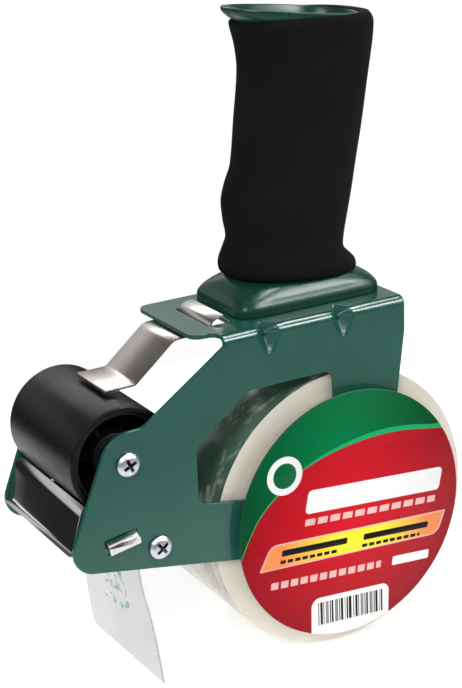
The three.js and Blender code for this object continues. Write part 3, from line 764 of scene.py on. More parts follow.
def frame_sheet():
    corners = [
        (BACK_X, flange_v(FLANGE_Y), 5), (-54.3, flange_v(FLANGE_Y), 4), (-54.3, flange_v(6.6), 4),
        (-46.2, flange_v(6.0), 3), (-46, -0.4, 1.2),
    ]
    wall = [(-77.1, 49.7, 6), BOSS_FRONT, BOTTOM_FRONT, (-22, -11.1, 10), (-10, -22, 14), (16, -22, 20),
            (22.9, -4, 12), (22.4, 38, 30), (25.8, 62, 20)]
    corners += [(x, z - BEND_Z, r) for x, z, r in wall] + [(BACK_X, 0, 0.6)]
    window = lift(rounded([(-4, 53.3, 4), (-37, 53.3, 6), (-58.2, 38.6, 5), (-58.2, 17.7, 4),
                           (-24, 11.3, 10), (-4, 24, 10)], 8))
    slot_low, slot_high = flange_v(12.9), flange_v(36)
    slot = rounded(box_corners(-44.6, -36.5, slot_low, slot_high, 1), 20)
    holes = [window, slot, lift(circle(0, 0, 4.3))] + [lift(hole) for hole in arm_holes()]
    holes += [circle(x, flange_v(HANDLE_Y), HOLE_R) for x in HANDLE_SCREWS]
    vertices, faces = plate(rounded(corners, 6), holes, SHEET, 0.35, 3)
    bm = bmesh.new()
    made = [bm.verts.new(v) for v in vertices]
    for face in faces:
        bm.faces.new([made[i] for i in face])
    cuts = [(0, 1, BEND_LENGTH * k / 10) for k in range(11)]
    cuts += [(0, 1, DART_MIDDLE + DART_REACH * (k / 12 - 1)) for k in range(25)]
    for x in DARTS:
        cuts += [(1, 0, x + 6.5 * k / 13) for k in range(-13, 14)]
    for normal_x, normal_y, offset in cuts:
        normal = Vector((normal_x, normal_y, 0))
        bmesh.ops.bisect_plane(bm, geom=bm.verts[:] + bm.edges[:] + bm.faces[:], dist=1e-5,
                               plane_co=normal * offset, plane_no=normal)
    for vertex in bm.verts:
        vertex.co = bent(*vertex.co)
    bm.verts.index_update()
    shape = [tuple(v.co) for v in bm.verts], [tuple(v.index for v in f.verts) for f in bm.faces]
    bm.free()
    return shape


add_piece("frame_sheet", frame_sheet(), "frame", PAINT, ["main_frame"], 42, weighted=True)

arm = rounded([(-73.4, 49.7, 9), ARM_BOSS_FRONT, ARM_BOTTOM_FRONT, (-65.5, -2.9, 6), (-65.5, 12, 12)], 6)
add_piece("far_plate", extruded(arm, ARM_LOW.y, ARM_HIGH.y, arm_holes(), 0.35, 3), "frame",
          PAINT, ["far_arm"], 42, weighted=True)


# --- fasteners
HEAD_R = 4.1
HEAD_H = 2.3
RECESS_R = 2.4


def cross_outline(w, r):
    """Outline of a cross with arms 2w wide that reach r from the middle."""
    return [(r, -w), (r, w), (w, w), (w, r), (-w, r), (-w, w),
            (-r, w), (-r, -w), (-w, -w), (-w, -r), (w, -r), (w, -w)]


def pan_head_screw(length):
    """A Phillips screw along +Y with its seat at y = 0 and its head on the +Y side."""
    head = rounded([(HEAD_R, 0, 0.25), (HEAD_R, 1.0, 0.5), (HEAD_R * 0.72, 2.05, 2.2), (0.02, HEAD_H)], 15)
    profile = [(0, -length), (1.6, -length), (2, -length + 0.5), (2, 0)]
    profile += head[:-1] + [(0, HEAD_H)]
    blank = blender_mesh("blank", *turned(profile, 40))
    levels = ((HEAD_H + 0.6, 0.62, 2.7), (HEAD_H - 0.6, 0.55, 2.3), (HEAD_H - 1.9, 0.3, 0.8))
    cross = [[(x, y, z) for x, z in cross_outline(half_width, reach)] for y, half_width, reach in levels]
    tool = blender_mesh("recess", *lofted(cross))
    modifier = blank.modifiers.new("recess", "BOOLEAN")
    modifier.object = tool
    modifier.solver = "EXACT"
    bake_modifiers(blank)
    bpy.data.objects.remove(tool)
    shape = [tuple(v.co) for v in blank.data.vertices], [tuple(p.vertices) for p in blank.data.polygons]
    bpy.data.objects.remove(blank)
    return shape


def add_screw(name, screw, matrix, node):
    piece = add_piece(name, moved(screw, matrix), "frame", [ZINC, RECESS_SHADE], [node], 40)
    vertices, faces = screw
    # Faces down in the cross recess take the painted shade material.
    for polygon, face in zip(piece.data.polygons, faces):
        middle = sum((Vector(vertices[i]) for i in face), Vector()) / len(face)
        radius = math.hypot(middle.x, middle.z)
        dome = HEAD_H - 0.12 - 0.06 * radius ** 2
        if 0 < middle.y < dome and radius < RECESS_R:
            polygon.material_index = 1


SCREW = pan_head_screw(9)
GRIP_SCREW = pan_head_screw(8)
NEAR_SEAT = -0.1
FAR_SEAT = ARM_HIGH.y + 0.1
for kind, x, z, turn in (("roller_screw", ROLLER_X, ROLLER_Z, 24), ("spacer_screw", ROD_X, ROD_Z, 38)):
    spin = Matrix.Rotation(math.radians(turn), 4, "Y")
    near = Matrix.Translation((x, NEAR_SEAT, z)) @ Matrix.Rotation(math.pi, 4, "X") @ spin
    far = Matrix.Translation((x, FAR_SEAT, z)) @ spin
    add_screw(f"{kind}_head_near", SCREW, near, f"{kind}_near")
    add_screw(f"{kind}_head_far", SCREW, far, f"{kind}_far")
for end, x in zip(("front", "rear"), HANDLE_SCREWS):
    under = Matrix.Translation((x, HANDLE_Y, TOP_Z - SHEET - 0.1)) @ Matrix.Rotation(-math.pi / 2, 4, "X")
    add_screw(f"grip_screw_{end}", GRIP_SCREW, under, f"handle_screw_{end}")

BORE_R, BORE_DEEP, DRILL_DEEP = 2.3, 8.5, 9.2
for name, x, z, r in (("roller_axle", ROLLER_X, ROLLER_Z, 3.2), ("spacer_rod", ROD_X, ROD_Z, 4.0)):
    outside = rounded([(r, INNER_NEAR, 0.4), (r, INNER_FAR, 0.4), (BORE_R, INNER_FAR, 0.2),
                       (BORE_R, INNER_FAR - BORE_DEEP), (0.02, INNER_FAR - DRILL_DEEP)], 30)
    rod = [(0, INNER_NEAR + DRILL_DEEP), (BORE_R, INNER_NEAR + BORE_DEEP), (BORE_R, INNER_NEAR)]
    rod += outside[:-1] + [(0, INNER_FAR - DRILL_DEEP)]
    add_piece(f"{name}_steel", turned(rod, 40, x, z), "frame", ZINC, [name])


# --- cutting head
def guard():
    face = smooth_path([(-98.5, 26.4), (-99.7, 24.9), (-100.5, 23.4), (-101.6, 20), (-103.7, 13.4),
                        (-104.2, 11.8), (-105.4, 10.7)], 5)
    sheet = extruded(strip_outline(face, 1.0), INNER_NEAR, INNER_FAR, bevel=0.2)
    ear = rounded([(-99.9, 24.3, 0.5), (-103.6, 12.8, 0.5), (-97.6, 13.3, 1.5), (-97.2, 22.4, 1.5)])
    ears = [extruded(ear, INNER_NEAR + 0.02, INNER_NEAR + 1, bevel=0.2),
            extruded(ear, INNER_FAR - 1, INNER_FAR - 0.02, bevel=0.2)]
    return joined(sheet, *ears)


add_piece("guard_sheet", guard(), "frame", CHROME, ["blade_guard"], 30)


def holder_bar(u0, u1, v0, v1, near, far, bevel=0.2):
    corners = [(*tilted(u, v), 0.3) for u, v in ((u0, v0), (u1, v0), (u1, v1), (u0, v1))]
    return extruded(rounded(corners, 30), near, far, bevel=bevel)


def holder():
    """The shelf inside, and the two folded layers that stand out through each plate."""
    half, v = TAB["length"] / 2, TAB["thick"] / 2
    shelf = holder_bar(-half - SHELF_REACH, half, -SHELF_THICK / 2, SHELF_THICK / 2, INNER_NEAR, INNER_FAR)
    outer = ARM_HIGH.y + TAB["proud"]
    lower = holder_bar(-half, half, -v, 0.6, -TAB["proud"], outer)
    upper = holder_bar(-half, half - 0.5, 0.72, v, 0.25 - TAB["proud"], outer - 0.25)
    return joined(shelf, lower, upper)


add_piece("holder_plate", holder(), "frame", CHROME, ["blade_holder"], 30)


def toothed_blade():
    pitch, count, depth, width, thick = 2.0, 25, 1.6, 5.0, 0.6
    outline = [Vector((width, count * pitch)), Vector((0, count * pitch))]
    for i in range(count, 0, -1):
        outline += [Vector((-depth, (i - 0.5) * pitch)), Vector((0, (i - 1) * pitch))]
    outline.append(Vector((width, 0)))
    vertices, faces = plate(outline, (), thick, 0.08, 1)
    ground = []
    for u, v, w in vertices:
        thin = 1 if u > 1 else 0.35 + 0.65 * (u + depth) / (1 + depth)
        ground.append((u, v, -thick / 2 + (w + thick / 2) * thin))
    out = []
    for u, v, w in ground:
        x, z = tilted(u - TAB["length"] / 2 - width - 0.3, w + SHELF_THICK / 2 + 0.45)
        out.append((x, v + INNER_NEAR + 1.4, z))
    return out, faces


add_piece("toothed_blade", toothed_blade(), "frame", BLADE, ["cutting_blade"], 25)

# --- roller
SLEEVE_IN = 16.7
sleeve = rounded([(SLEEVE_IN, ROLLER_LOW.y, 0.2), (ROLLER_R, ROLLER_LOW.y, 0.7),
                  (ROLLER_R, ROLLER_HIGH.y, 0.7), (SLEEVE_IN, ROLLER_HIGH.y, 0.2)], 22)
add_piece("roller_cover", turned(sleeve, 96, ROLLER_X, ROLLER_Z), "roller", RUBBER,
          ["roller_sleeve"])


def roller_drum():
    near, far = ROLLER_LOW.y + 1.5, ROLLER_HIGH.y - 1.5
    boss_near, boss_far = 9.0, 47.5
    profile = [(15, near, 0.3), (16.4, near, 0.3), (16.4, far, 0.3), (15, far, 0.3), (15, 30, 0.8),
               (7.6, 30, 0.8), (7.6, boss_far, 0.4), (5.2, boss_far, 0.3), (5.2, boss_near, 0.3),
               (7.6, boss_near, 0.4), (7.6, 26, 0.8), (15, 26, 0.8)]
    drum = turned(rounded(profile, 30), 72, ROLLER_X, ROLLER_Z)
    ribs = []
    for turn in range(0, 360, 60):
        for low, high in ((12, 26.3), (29.7, 44)):
            rib = block(7.4, 15.2, low, high, -0.6, 0.6)
            spin = Matrix.Translation((ROLLER_X, 0, ROLLER_Z)) @ Matrix.Rotation(math.radians(turn), 4, "Y")
            ribs.append(moved(rib, spin))
    return joined(drum, *ribs)


add_piece("roller_drum", roller_drum(), "roller", HUB_BLACK, ["roller_core"])
for end, low, high, flange in (("near", 8.2, 17, (7.7, 8.7)), ("far", 39.5, 48.3, (47.8, 48.8))):
    bush = joined(turned(ring_profile(3.5, 4.9, low, high), 40, ROLLER_X, ROLLER_Z),
                  turned(ring_profile(3.5, 7.2, *flange, edge=0.25), 40, ROLLER_X, ROLLER_Z))
    add_piece(f"bush_{end}", bush, "roller", HUB_BLACK, [f"roller_bush_{end}"])

# --- wiper strip
STRIP = 0.7
WIPER_Z = 71.7
PAD_Z = 59.1
PAD_FRONT, HEM_BACK, HEM_LOW = -83.4, -78.2, 58.0


def wiper_sheet():
    """From the arch over the flange, through the slot, down to the pad with its hem folded under."""
    arch = [(-38.4, 76.2), (-39.6, 76.1), (-41, 75.75), (-42.3, 75.15), (-43.1, 74.3), (-43.45, 73.3),
            (-43.75, 72.4), (-44.1, 71.9), (-44.7, WIPER_Z)]
    flat = [(x, WIPER_Z) for x in (-48, -52, -55.2)]
    crest = [(-56.6, 71.6), (-57.5, 71.3), (-58.4, 70.8), (-59.2, 70.1)]
    slope = [(-59.2 - 11.8 * k / 8, 70.1 - 9.7 * k / 8) for k in range(1, 9)]
    crease = [(-71.6, 59.9), (-72.2, 59.45), (-72.8, 59.2), (-73.6, PAD_Z)]
    pad = [(x, PAD_Z) for x in (-76, -79.5, PAD_FRONT + 0.4)]
    path = [Vector(p) for p in arch + flat + crest + slope + crease + pad]
    body = extruded(strip_outline(path, STRIP), WIPER_LOW.y, WIPER_HIGH.y, bevel=0.16)
    hem = rounded([(PAD_FRONT, PAD_Z + 0.4, 0.4), (PAD_FRONT, HEM_LOW, 0.4), (HEM_BACK, HEM_LOW, 0.2),
                   (HEM_BACK, HEM_LOW + 0.7, 0.2)], 30)
    return joined(body, extruded(hem, WIPER_LOW.y, WIPER_HIGH.y, bevel=0.16))


wiper = add_piece("wiper_strip", wiper_sheet(), None, SATIN, ["wiper_clip", "wiper"], 40)

# --- handle
LEAN = math.radians(7)
GRIP_FOOT = Vector((-4.4, 27.2, 85))
GRIP_LENGTH = 87


def eased(sections, s, key):
    """Value of a section's measure at distance s, smoothly between the listed sections."""
    last = len(sections) - 1
    for i in range(last):
        if s <= sections[i + 1][0] or i == last - 1:
            break
    s1, s2 = sections[i][0], sections[i + 1][0]
    t = min(1, max(0, (s - s1) / (s2 - s1)))
    before, after = sections[max(i - 1, 0)], sections[min(i + 2, last)]
    v1, v2 = sections[i][key], sections[i + 1][key]
    m1 = (v2 - before[key]) / max(1e-6, s2 - before[0]) * (s2 - s1)
    m2 = (after[key] - v1) / max(1e-6, after[0] - s1) * (s2 - s1)
    return ((2 * t ** 3 - 3 * t * t + 1) * v1 + (t ** 3 - 2 * t * t + t) * m1
            + (3 * t * t - 2 * t ** 3) * v2 + (t ** 3 - t * t) * m2)


def oval(count, front, rear, side, square=2.3):
    """Points (t, y) of an oval with its own reach forwards and backwards."""
    points = []
    for i in range(count):
        a = 2 * math.pi * i / count
        c, w = math.cos(a), math.sin(a)
        t = math.copysign(abs(c) ** (2 / square), c) * (rear if c > 0 else front)
        y = math.copysign(abs(w) ** (2 / square), w) * side
        points.append((t, y))
    return points


def on_grip(s, t, y):
    return (GRIP_FOOT.x + s * math.sin(LEAN) + t * math.cos(LEAN), GRIP_FOOT.y + y,
            GRIP_FOOT.z + s * math.cos(LEAN) - t * math.sin(LEAN))


# Distance up the handle, reach to the front, to the rear and to each side, and how far the
# section tips: its rear stands that much higher and its front that much lower. The last two rows
# also lift at the sides.
FOAM_SECTIONS = [
    (-2.45, 23.5, 23.6, 15.2, 0.85), (-1.45, 24.9, 25.3, 16.8, 0.85), (1.75, 25.5, 24.4, 17.2, 0.85),
    (5.95, 24.6, 19.4, 16, 0.85), (10.15, 23.5, 19, 15.4, 0.85), (16.15, 25.1, 19.5, 15.6, 0.85),
    (22.65, 26.3, 20.2, 15.8, 0.85), (28.65, 25.4, 20.9, 15.7, 0.85), (34.3, 23.6, 21.4, 15.5, 0.5),
    (50, 23.3, 22.8, 15.6, 0), (66, 23.2, 23.7, 15.8, 0), (74, 24.8, 24.1, 16.2, 0),
    (80, 27.1, 24.2, 16.6, 0),
    (83.8, 27.3, 23.5, 16.8, 1.9), (85.25, 25.8, 21.6, 15.8, 2.55),
]
CORE_SECTIONS = [
    (-2.5, 20.2, 16.6, 11), (12, 19.5, 15.6, 11), (40, 19, 17.4, 11), (70, 19, 18, 11), (78, 21.5, 18.2, 12),
    (82, 26, 18.4, 13.6), (84.8, 30.4, 18.6, 15), (86, 31.4, 18.6, 15.2), (86.8, 31.5, 18.6, 15.2),
    (87, 31.3, 18.5, 15.1),
]
POCKET_SECTIONS = [
    (87.1, 30.4, 17.4, 14.5), (86.5, 29.6, 16.9, 14.0), (84, 26.8, 16.4, 13.6), (79, 19.6, 15.7, 10.8),
    (70, 17, 15.4, 9.4), (40, 16, 14, 8.6), (8, 16, 12.6, 8),
]
OVAL_COUNT = 96
LIFT_FROM, SIDE_LIFT = 80, 0.95
BORE_BITE = 0.5


def foam_height(s, i):
    """Height of a section's point i, after the section's tip and the lift of its sides near the top."""
    turn = 2 * math.pi * i / OVAL_COUNT
    lift = SIDE_LIFT * max(0, (s - LIFT_FROM) / (FOAM_SECTIONS[-1][0] - LIFT_FROM))
    return s + eased(FOAM_SECTIONS, s, 4) * math.cos(turn) + lift * math.sin(turn) ** 2


def foam_ring(s):
    outer = oval(OVAL_COUNT, *(eased(FOAM_SECTIONS, s, key) for key in (1, 2, 3)))
    return [on_grip(foam_height(s, i), t, y) for i, (t, y) in enumerate(outer)]


def foam_bore(s):
    """The bore sits just under the handle's skin, so it never reaches the pocket inside."""
    ring = []
    for i in range(OVAL_COUNT):
        height = foam_height(s, i)
        core = (eased(CORE_SECTIONS, min(height, GRIP_LENGTH), key) - BORE_BITE for key in (1, 2, 3))
        ring.append(on_grip(height, *oval(OVAL_COUNT, *core)[i]))
    return ring


def foam_shape():
    low, high = FOAM_SECTIONS[0][0], FOAM_SECTIONS[-1][0]
    count = 100
    rings = [foam_ring(low + (high - low) * k / count) for k in range(count + 1)]
    rings += [foam_bore(s) for s in (high - 0.3, high - 2, high - 4, 76, 66, 40, 10, low + 0.8)]
    vertices = [p for ring in rings for p in ring]
    faces = []
    for k in range(len(rings)):
        here, there = k * OVAL_COUNT, (k + 1) % len(rings) * OVAL_COUNT
        for i in range(OVAL_COUNT):
            j = (i + 1) % OVAL_COUNT
            faces.append((here + i, here + j, there + j, there + i))
    return vertices, faces


grip = add_piece("foam_sleeve", foam_shape(), "frame", FOAM, ["foam_grip"], 60)

PLINTH_X, PLINTH_Y = -5, 27


def plinth_ring(z, half_x, half_y, square):
    return [(PLINTH_X + t, PLINTH_Y + y, z) for t, y in oval(OVAL_COUNT, half_x, half_x, half_y, square)]


# The foot's wall: height above the flange, half length, half width.
FOOT_WALL = [(0.1, 28.4, 17.3), (0.4, 28.9, 17.8), (2.0, 28.8, 17.7), (3.0, 28.65, 17.5), (3.7, 28.3, 17.2),
             (4.2, 27.9, 16.9)]
FOOT_SQUARE = 8
DOME_HEIGHT, DOME_INSET = 7, 6
DOME_TOP = {"s": -2.75, "front": 22, "rear": 21, "side": 13.5, "tip": 0.85}


def dome_rings(steps=12):
    """The conical shoulder that closes from the foot's ridge onto the tipped oval under the foam."""
    ridge_z, half_x, half_y = TOP_Z + FOOT_WALL[-1][0], FOOT_WALL[-1][1], FOOT_WALL[-1][2]
    under = oval(OVAL_COUNT, DOME_TOP["front"], DOME_TOP["rear"], DOME_TOP["side"])
    top = [on_grip(DOME_TOP["s"] + DOME_TOP["tip"] * math.cos(2 * math.pi * i / OVAL_COUNT), t, y)
           for i, (t, y) in enumerate(under)]
    rings = []
    for k in range(1, steps + 1):
        f = k / steps
        inset = DOME_INSET * f ** 1.2
        cone = plinth_ring(ridge_z + DOME_HEIGHT * f, half_x - inset, half_y - inset * 0.7,
                           FOOT_SQUARE - 6 * f)
        share = f ** 2.2
        rings.append([tuple(Vector(a).lerp(Vector(b), share)) for a, b in zip(cone, top)])
    return rings


def handle_moulding():
    rings = [plinth_ring(TOP_Z + z, half_x, half_y, FOOT_SQUARE) for z, half_x, half_y in FOOT_WALL]
    rings += dome_rings()
    s = CORE_SECTIONS[0][0]
    while s < GRIP_LENGTH:
        front, rear, side = (eased(CORE_SECTIONS, s, key) for key in (1, 2, 3))
        rings.append([on_grip(s, t, y) for t, y in oval(OVAL_COUNT, front, rear, side)])
        s += 6 if s < 70 else 0.8
    for s, front, rear, side in [CORE_SECTIONS[-1]] + POCKET_SECTIONS:
        rings.append([on_grip(s, t, y) for t, y in oval(OVAL_COUNT, front, rear, side)])
    return lofted(rings)


add_piece("handle_moulding", handle_moulding(), "frame", GREEN, ["handle_core"], 50)

# --- reel
ROLL_NEAR, ROLL_FAR = ROLL_LOW.y, ROLL_HIGH.y
CORE_OUT, CORE_IN, HUB_R = 40.9, 38.1, 37.6


def wound_roll():
    """The roll's ends are slightly uneven, as film winds."""
    profile = []
    steps = 40
    inner = CORE_OUT + 0.1
    for k in range(steps + 1):
        r = inner + (ROLL_R - 0.25 - inner) * k / steps
        profile.append((r, ROLL_NEAR + 0.04 + 0.012 * math.sin(k * 1.7) + 0.012 * math.sin(k * 0.61)))
    profile += [(ROLL_R - 0.08, ROLL_NEAR + 0.1), (ROLL_R, ROLL_NEAR + 0.3)]
    profile += [(ROLL_R, ROLL_FAR - 0.3), (ROLL_R - 0.08, ROLL_FAR - 0.1)]
    for k in range(steps, -1, -1):
        r = inner + (ROLL_R - 0.25 - inner) * k / steps
        profile.append((r, ROLL_FAR - 0.04 + 0.014 * math.sin(k * 1.3 + 1)))
    return turned(profile, 160)


add_piece("wound_roll", wound_roll(), "reel", FILM_ROLL, ["tape_roll"], 50)
add_piece("board_core", turned(ring_profile(CORE_IN, CORE_OUT, ROLL_NEAR, ROLL_FAR, 0.25), 128), "reel",
          BOARD, ["tape_core"])


def hub_moulding():
    near, far, web, boss, bore = 3.2, 52.4, 6.4, 12.0, 4.4
    profile = [(bore, near, 0.2), (HUB_R, near, 0.6), (HUB_R, far, 0.5), (HUB_R - 2.4, far, 0.5),
               (HUB_R - 2.4, web, 1.2), (9.5, web, 1.0), (9.5, boss, 0.4), (bore, boss, 0.3)]
    cup = turned(rounded(profile, 20), 120)
    extras = []
    for turn in range(0, 360, 60):
        spin = Matrix.Rotation(math.radians(turn), 4, "Y")
        outline = ((9.2, web - 0.2), (HUB_R - 2, web - 0.2), (HUB_R - 2, 16.5), (30, 11), (9.2, 11))
        spoke = plate([Vector(p) for p in outline], (), 2.0, 0.25, 2)
        extras.append(moved(spoke, spin))
    for turn in (45, 135, 225, 315):
        spin = Matrix.Rotation(math.radians(turn), 4, "Y")
        outline = [(HUB_R - 2, far - 1.4, 0.1), (HUB_R + 0.8, far - 1.4, 0.2), (HUB_R + 2, far - 1.1, 0.3),
                   (HUB_R + 0.3, far, 0.4), (HUB_R - 2, far, 0.1)]
        lug = plate(rounded(outline, 30), (), 8.0, 0.3, 2)
        extras.append(moved(lug, spin))
    return joined(cup, *extras)


add_piece("hub_moulding", hub_moulding(), "reel", HUB_BLACK, ["hub"])


def knob_shape():
    low, high = node_box("brake_knob")
    outline = []
    for i in range(144):
        a = 2 * math.pi * i / 144
        r = 13 + 1.3 * math.cos(6 * a)
        outline.append(Vector((r * math.cos(a), r * math.sin(a))))
    body = extruded(outline, low.y, low.y + 8, [circle(0, 0, 4.4, 40)], 0.8, 4)
    collar = turned(ring_profile(4.4, 8, low.y + 7.4, high.y, 0.6), 48)
    return joined(body, collar)


add_piece("knob_moulding", knob_shape(), "brake_knob", HUB_BLACK, ["brake_knob"])


def spring_wire():
    low, high = node_box("brake_spring")
    wire, turns, count, sides = 0.7, 4, 160, 12
    radius = high.x - wire
    rings = []
    for k in range(count + 1):
        a = 2 * math.pi * turns * k / count
        y = low.y + wire + (high.y - low.y - 2 * wire) * k / count
        centre = Vector((radius * math.cos(a), y, radius * math.sin(a)))
        outward = Vector((math.cos(a), 0, math.sin(a)))
        rings.append([tuple(centre + outward * wire * math.cos(b) + Vector((0, wire * math.sin(b), 0)))
                      for b in (2 * math.pi * i / sides for i in range(sides))])
    return lofted(rings)


add_piece("spring_coil", spring_wire(), "frame", ZINC, ["brake_spring"])


def axle_bolt():
    low, high = node_box("hub_axle")
    head = [(0.02, low.y), (8.4, low.y, 0.8), (9, low.y + 0.7, 0.4), (9, -0.1, 0.2), (4, -0.1)]
    profile = [(p.x, p.y) for p in rounded(head, 20)]
    turn_y = 22.0
    while turn_y < high.y - 1.2:
        profile += [(4.0, turn_y), (3.55, turn_y + 0.5)]
        turn_y += 1.0
    profile += [(4.0, high.y - 1), (3.0, high.y), (0, high.y)]
    profile[0] = (0, low.y)
    return turned(profile, 48)


add_piece("axle_bolt", axle_bolt(), "frame", ZINC, ["hub_axle"])
CAP_LOW, CAP_HIGH = node_box("hub_cap")
add_piece("cap_ring", turned(ring_profile(9.6, 18, CAP_LOW.y, CAP_HIGH.y, 0.4), 96), "frame",
          HUB_BLACK, ["hub_cap"])
restyle("friction_washer", NYLON)
restyle("spring_washer", ZINC)

# --- label disc
LABEL_R = LABEL_HIGH.x
FACE_Y = LABEL_LOW.y
INKS = {
    "green": ink_material("ink_green", srgb(0, 118, 68), srgb(0, 76, 40), (-0.004, 0.024), 0.04),
    "leaf": ink_material("ink_leaf", srgb(28, 178, 108), srgb(18, 160, 98)),
    "red": ink_material("ink_red", srgb(214, 26, 42), srgb(136, 14, 24), (0.0, 0.002), 0.052),
    "band": band_material(),
    "white": ink_material("ink_white", srgb(250, 250, 250), srgb(240, 240, 240)),
    "black": ink_material("ink_black", srgb(26, 24, 24), srgb(30, 28, 28)),
    "grey": ink_material("ink_grey", srgb(150, 148, 146), srgb(140, 138, 136)),
    "pale": ink_material("ink_pale", srgb(238, 196, 190), srgb(226, 176, 172)),
}
LAYER = 0.035
INK_TILT = math.radians(-5.2)
ink_shapes, ink_faces = [], []


def ink(color, points, layer):
    """One thin printed shape; points are (x, z) in the plane of the disc."""
    loop = [Vector(p) for p in points]
    low, high = FACE_Y - LAYER * layer, FACE_Y + 0.01
    shape = extruded(loop, low, high, bevel=0.004, steps=1)
    ink_shapes.append(shape)
    ink_faces.append((len(shape[1]), list(INKS).index(color)))


def tilt_point(x, z, origin):
    c, s = math.cos(INK_TILT), math.sin(INK_TILT)
    return origin[0] + x * c - z * s, origin[1] + x * s + z * c


def bar(color, x0, x1, z0, z1, layer, origin=(0, 0), slant=0.0, radius=0.0):
    """A bar along the label's tilted writing direction; slant leans it like italics."""
    corners = [(x0 + slant * z0, z0), (x1 + slant * z0, z0), (x1 + slant * z1, z1), (x0 + slant * z1, z1)]
    corners = [(*tilt_point(x, z, origin), radius) for x, z in corners]
    ink(color, rounded(corners, 20), layer)


PRINT_R = LABEL_R - 0.1


def rim(angle):
    """The point of the print's edge at an angle in degrees."""
    return PRINT_R * math.cos(math.radians(angle)), PRINT_R * math.sin(math.radians(angle))


def angle_of(point):
    return math.degrees(math.atan2(point[1], point[0]))


def disc_edge(start, end, count):
    """Points along the print's edge between two angles in degrees."""
    return [rim(start + (end - start) * k / count) for k in range(count + 1)]


def swoosh(points):
    """The field below a smooth boundary, closed along the rim."""
    curve = smooth_path(points, 8)
    first, last = angle_of(curve[0]) % 360, angle_of(curve[-1]) % 360
    return curve + disc_edge(last, first + 360, 90)[1:-1]


def greeked_row(color, x0, x1, base, height, widths, gap, layer, origin=(0, 0), slant=0.2):
    """A row of plain blocks that stands for a line of print."""
    x, i = x0, 0
    while x < x1:
        width = widths[i % len(widths)]
        bar(color, x, min(x + width, x1), base, base + height, layer, origin, slant, min(0.2, height * 0.2))
        x += width + gap
        i += 1


def print_label():
    ink("green", disc_edge(0, 354, 90), 1)
    ink("leaf", swoosh([rim(34), (34.7, 25.6), (25.1, 27.6), (16.6, 28.6), (8.1, 28.6), (-0.2, 27.6),
                        (-8.5, 25.9),
                        (-18.8, 22.3), (-29, 16), (-37.2, 8.8), (-42.2, 1.0), rim(186)]), 2)
    ink("red", swoosh([rim(30.5), (29.4, 25.0), (20.8, 26.3), (12.3, 26.8), (3.9, 26.5), (-5.4, 25.3),
                       (-14.7, 23.1),
                       (-21.5, 20.4), (-29, 15.2), (-36.4, 9.0), (-41.4, 1.8), rim(187.2)]), 3)
    # one plain ring
    ink("white", circle(-27, 21.2, 7.0, 48), 4)
    ink("green", circle(-27, 21.2, 4.6, 48), 5)
    # one plain title bar, and an even row of blocks under it
    start = (-19.4, 4.8)
    bar("white", 0, 57, 0, 8.6, 4, start, 0.12, 1.6)
    greeked_row("pale", 0.6, 56, -4.4, 2.4, (4.0,), 1.2, 4, start, 0.1)
    # slanted band with two groups of bars
    band_start = (-38.4, -12.2)
    band = [(0, 0, 0.3), (75.5, 1.2, 4.5), (78.2, 10.2, 0.3), (4.0, 9.4, 4.5)]
    ink("pale", rounded([(*tilt_point(x, z, band_start), r) for x, z, r in band], 12), 4)
    inset = [(0.9, 0.5, 0.3), (75.0, 1.7, 4.1), (77.2, 9.7, 0.3), (4.3, 8.9, 4.1)]
    ink("band", rounded([(*tilt_point(x, z, band_start), r) for x, z, r in inset], 12), 5)
    for x0, x1 in ((8, 35), (42, 70)):
        bar("black", x0, x1, 4.6, 6.9, 6, band_start, 0.12, 0.5)
        greeked_row("black", x0, x1 - 3, 1.9, 1.2, (2.2,), 0.8, 6, band_start, 0.1)
    # lower line, thin blocks and then a bolder bar
    line_start = (-34.2, -20.3)
    greeked_row("pale", 0, 46, 0.3, 2.6, (3.0,), 1.0, 4, line_start, 0.05)
    bar("white", 51, 67, 0, 3.4, 4, line_start, 0.05, 0.6)
    # white panel with stripes of several widths
    ink("white", panel_outline(), 4)
    stripes, gaps = (0.5, 0.9, 0.3, 1.2, 0.4, 0.7, 1.3, 0.4, 0.9, 0.3, 0.6, 1.1), (0.5, 0.35, 0.7)
    left, right, slope = -15.2, 12.0, 0.09
    x, i = left, 0
    while x < right:
        width = stripes[i % len(stripes)]
        tone = "black" if i % 3 else "grey"
        drop = (x - left) * slope
        foot, top = -39.4 - drop * 0.9, -30.6 - drop
        ink(tone, [(x, foot), (x + width, foot), (x + width, top), (x, top)], 5)
        x += width + gaps[i % 3]
        i += 1


def panel_outline():
    """The white panel runs down to the rim."""
    rim_left = (-18.1, -math.sqrt(PRINT_R ** 2 - 18.1 ** 2))
    rim_right = (14.8, -math.sqrt(PRINT_R ** 2 - 14.8 ** 2))
    top = rounded([rim_right, (15.2, -31.2, 3.2), (-17.8, -28.4, 3.4), rim_left], 12)
    return top + disc_edge(angle_of(rim_left), angle_of(rim_right), 24)[1:-1]


print_label()
card = rounded([(0, FACE_Y), (LABEL_R, FACE_Y, 0.25), (LABEL_R, LABEL_HIGH.y, 0.25), (0, LABEL_HIGH.y)], 30)
add_piece("label_card", turned(card, 160), "frame", CARD, ["label_disc"])
print_piece = add_piece("label_print", joined(*ink_shapes), "frame",
                        list(INKS.values()), (), 50)
position = 0
for count, index in ink_faces:
    for polygon in print_piece.data.polygons[position:position + count]:
        polygon.material_index = index
    position += count

# --- film
FILM = 0.12
LIP_X = -80.7


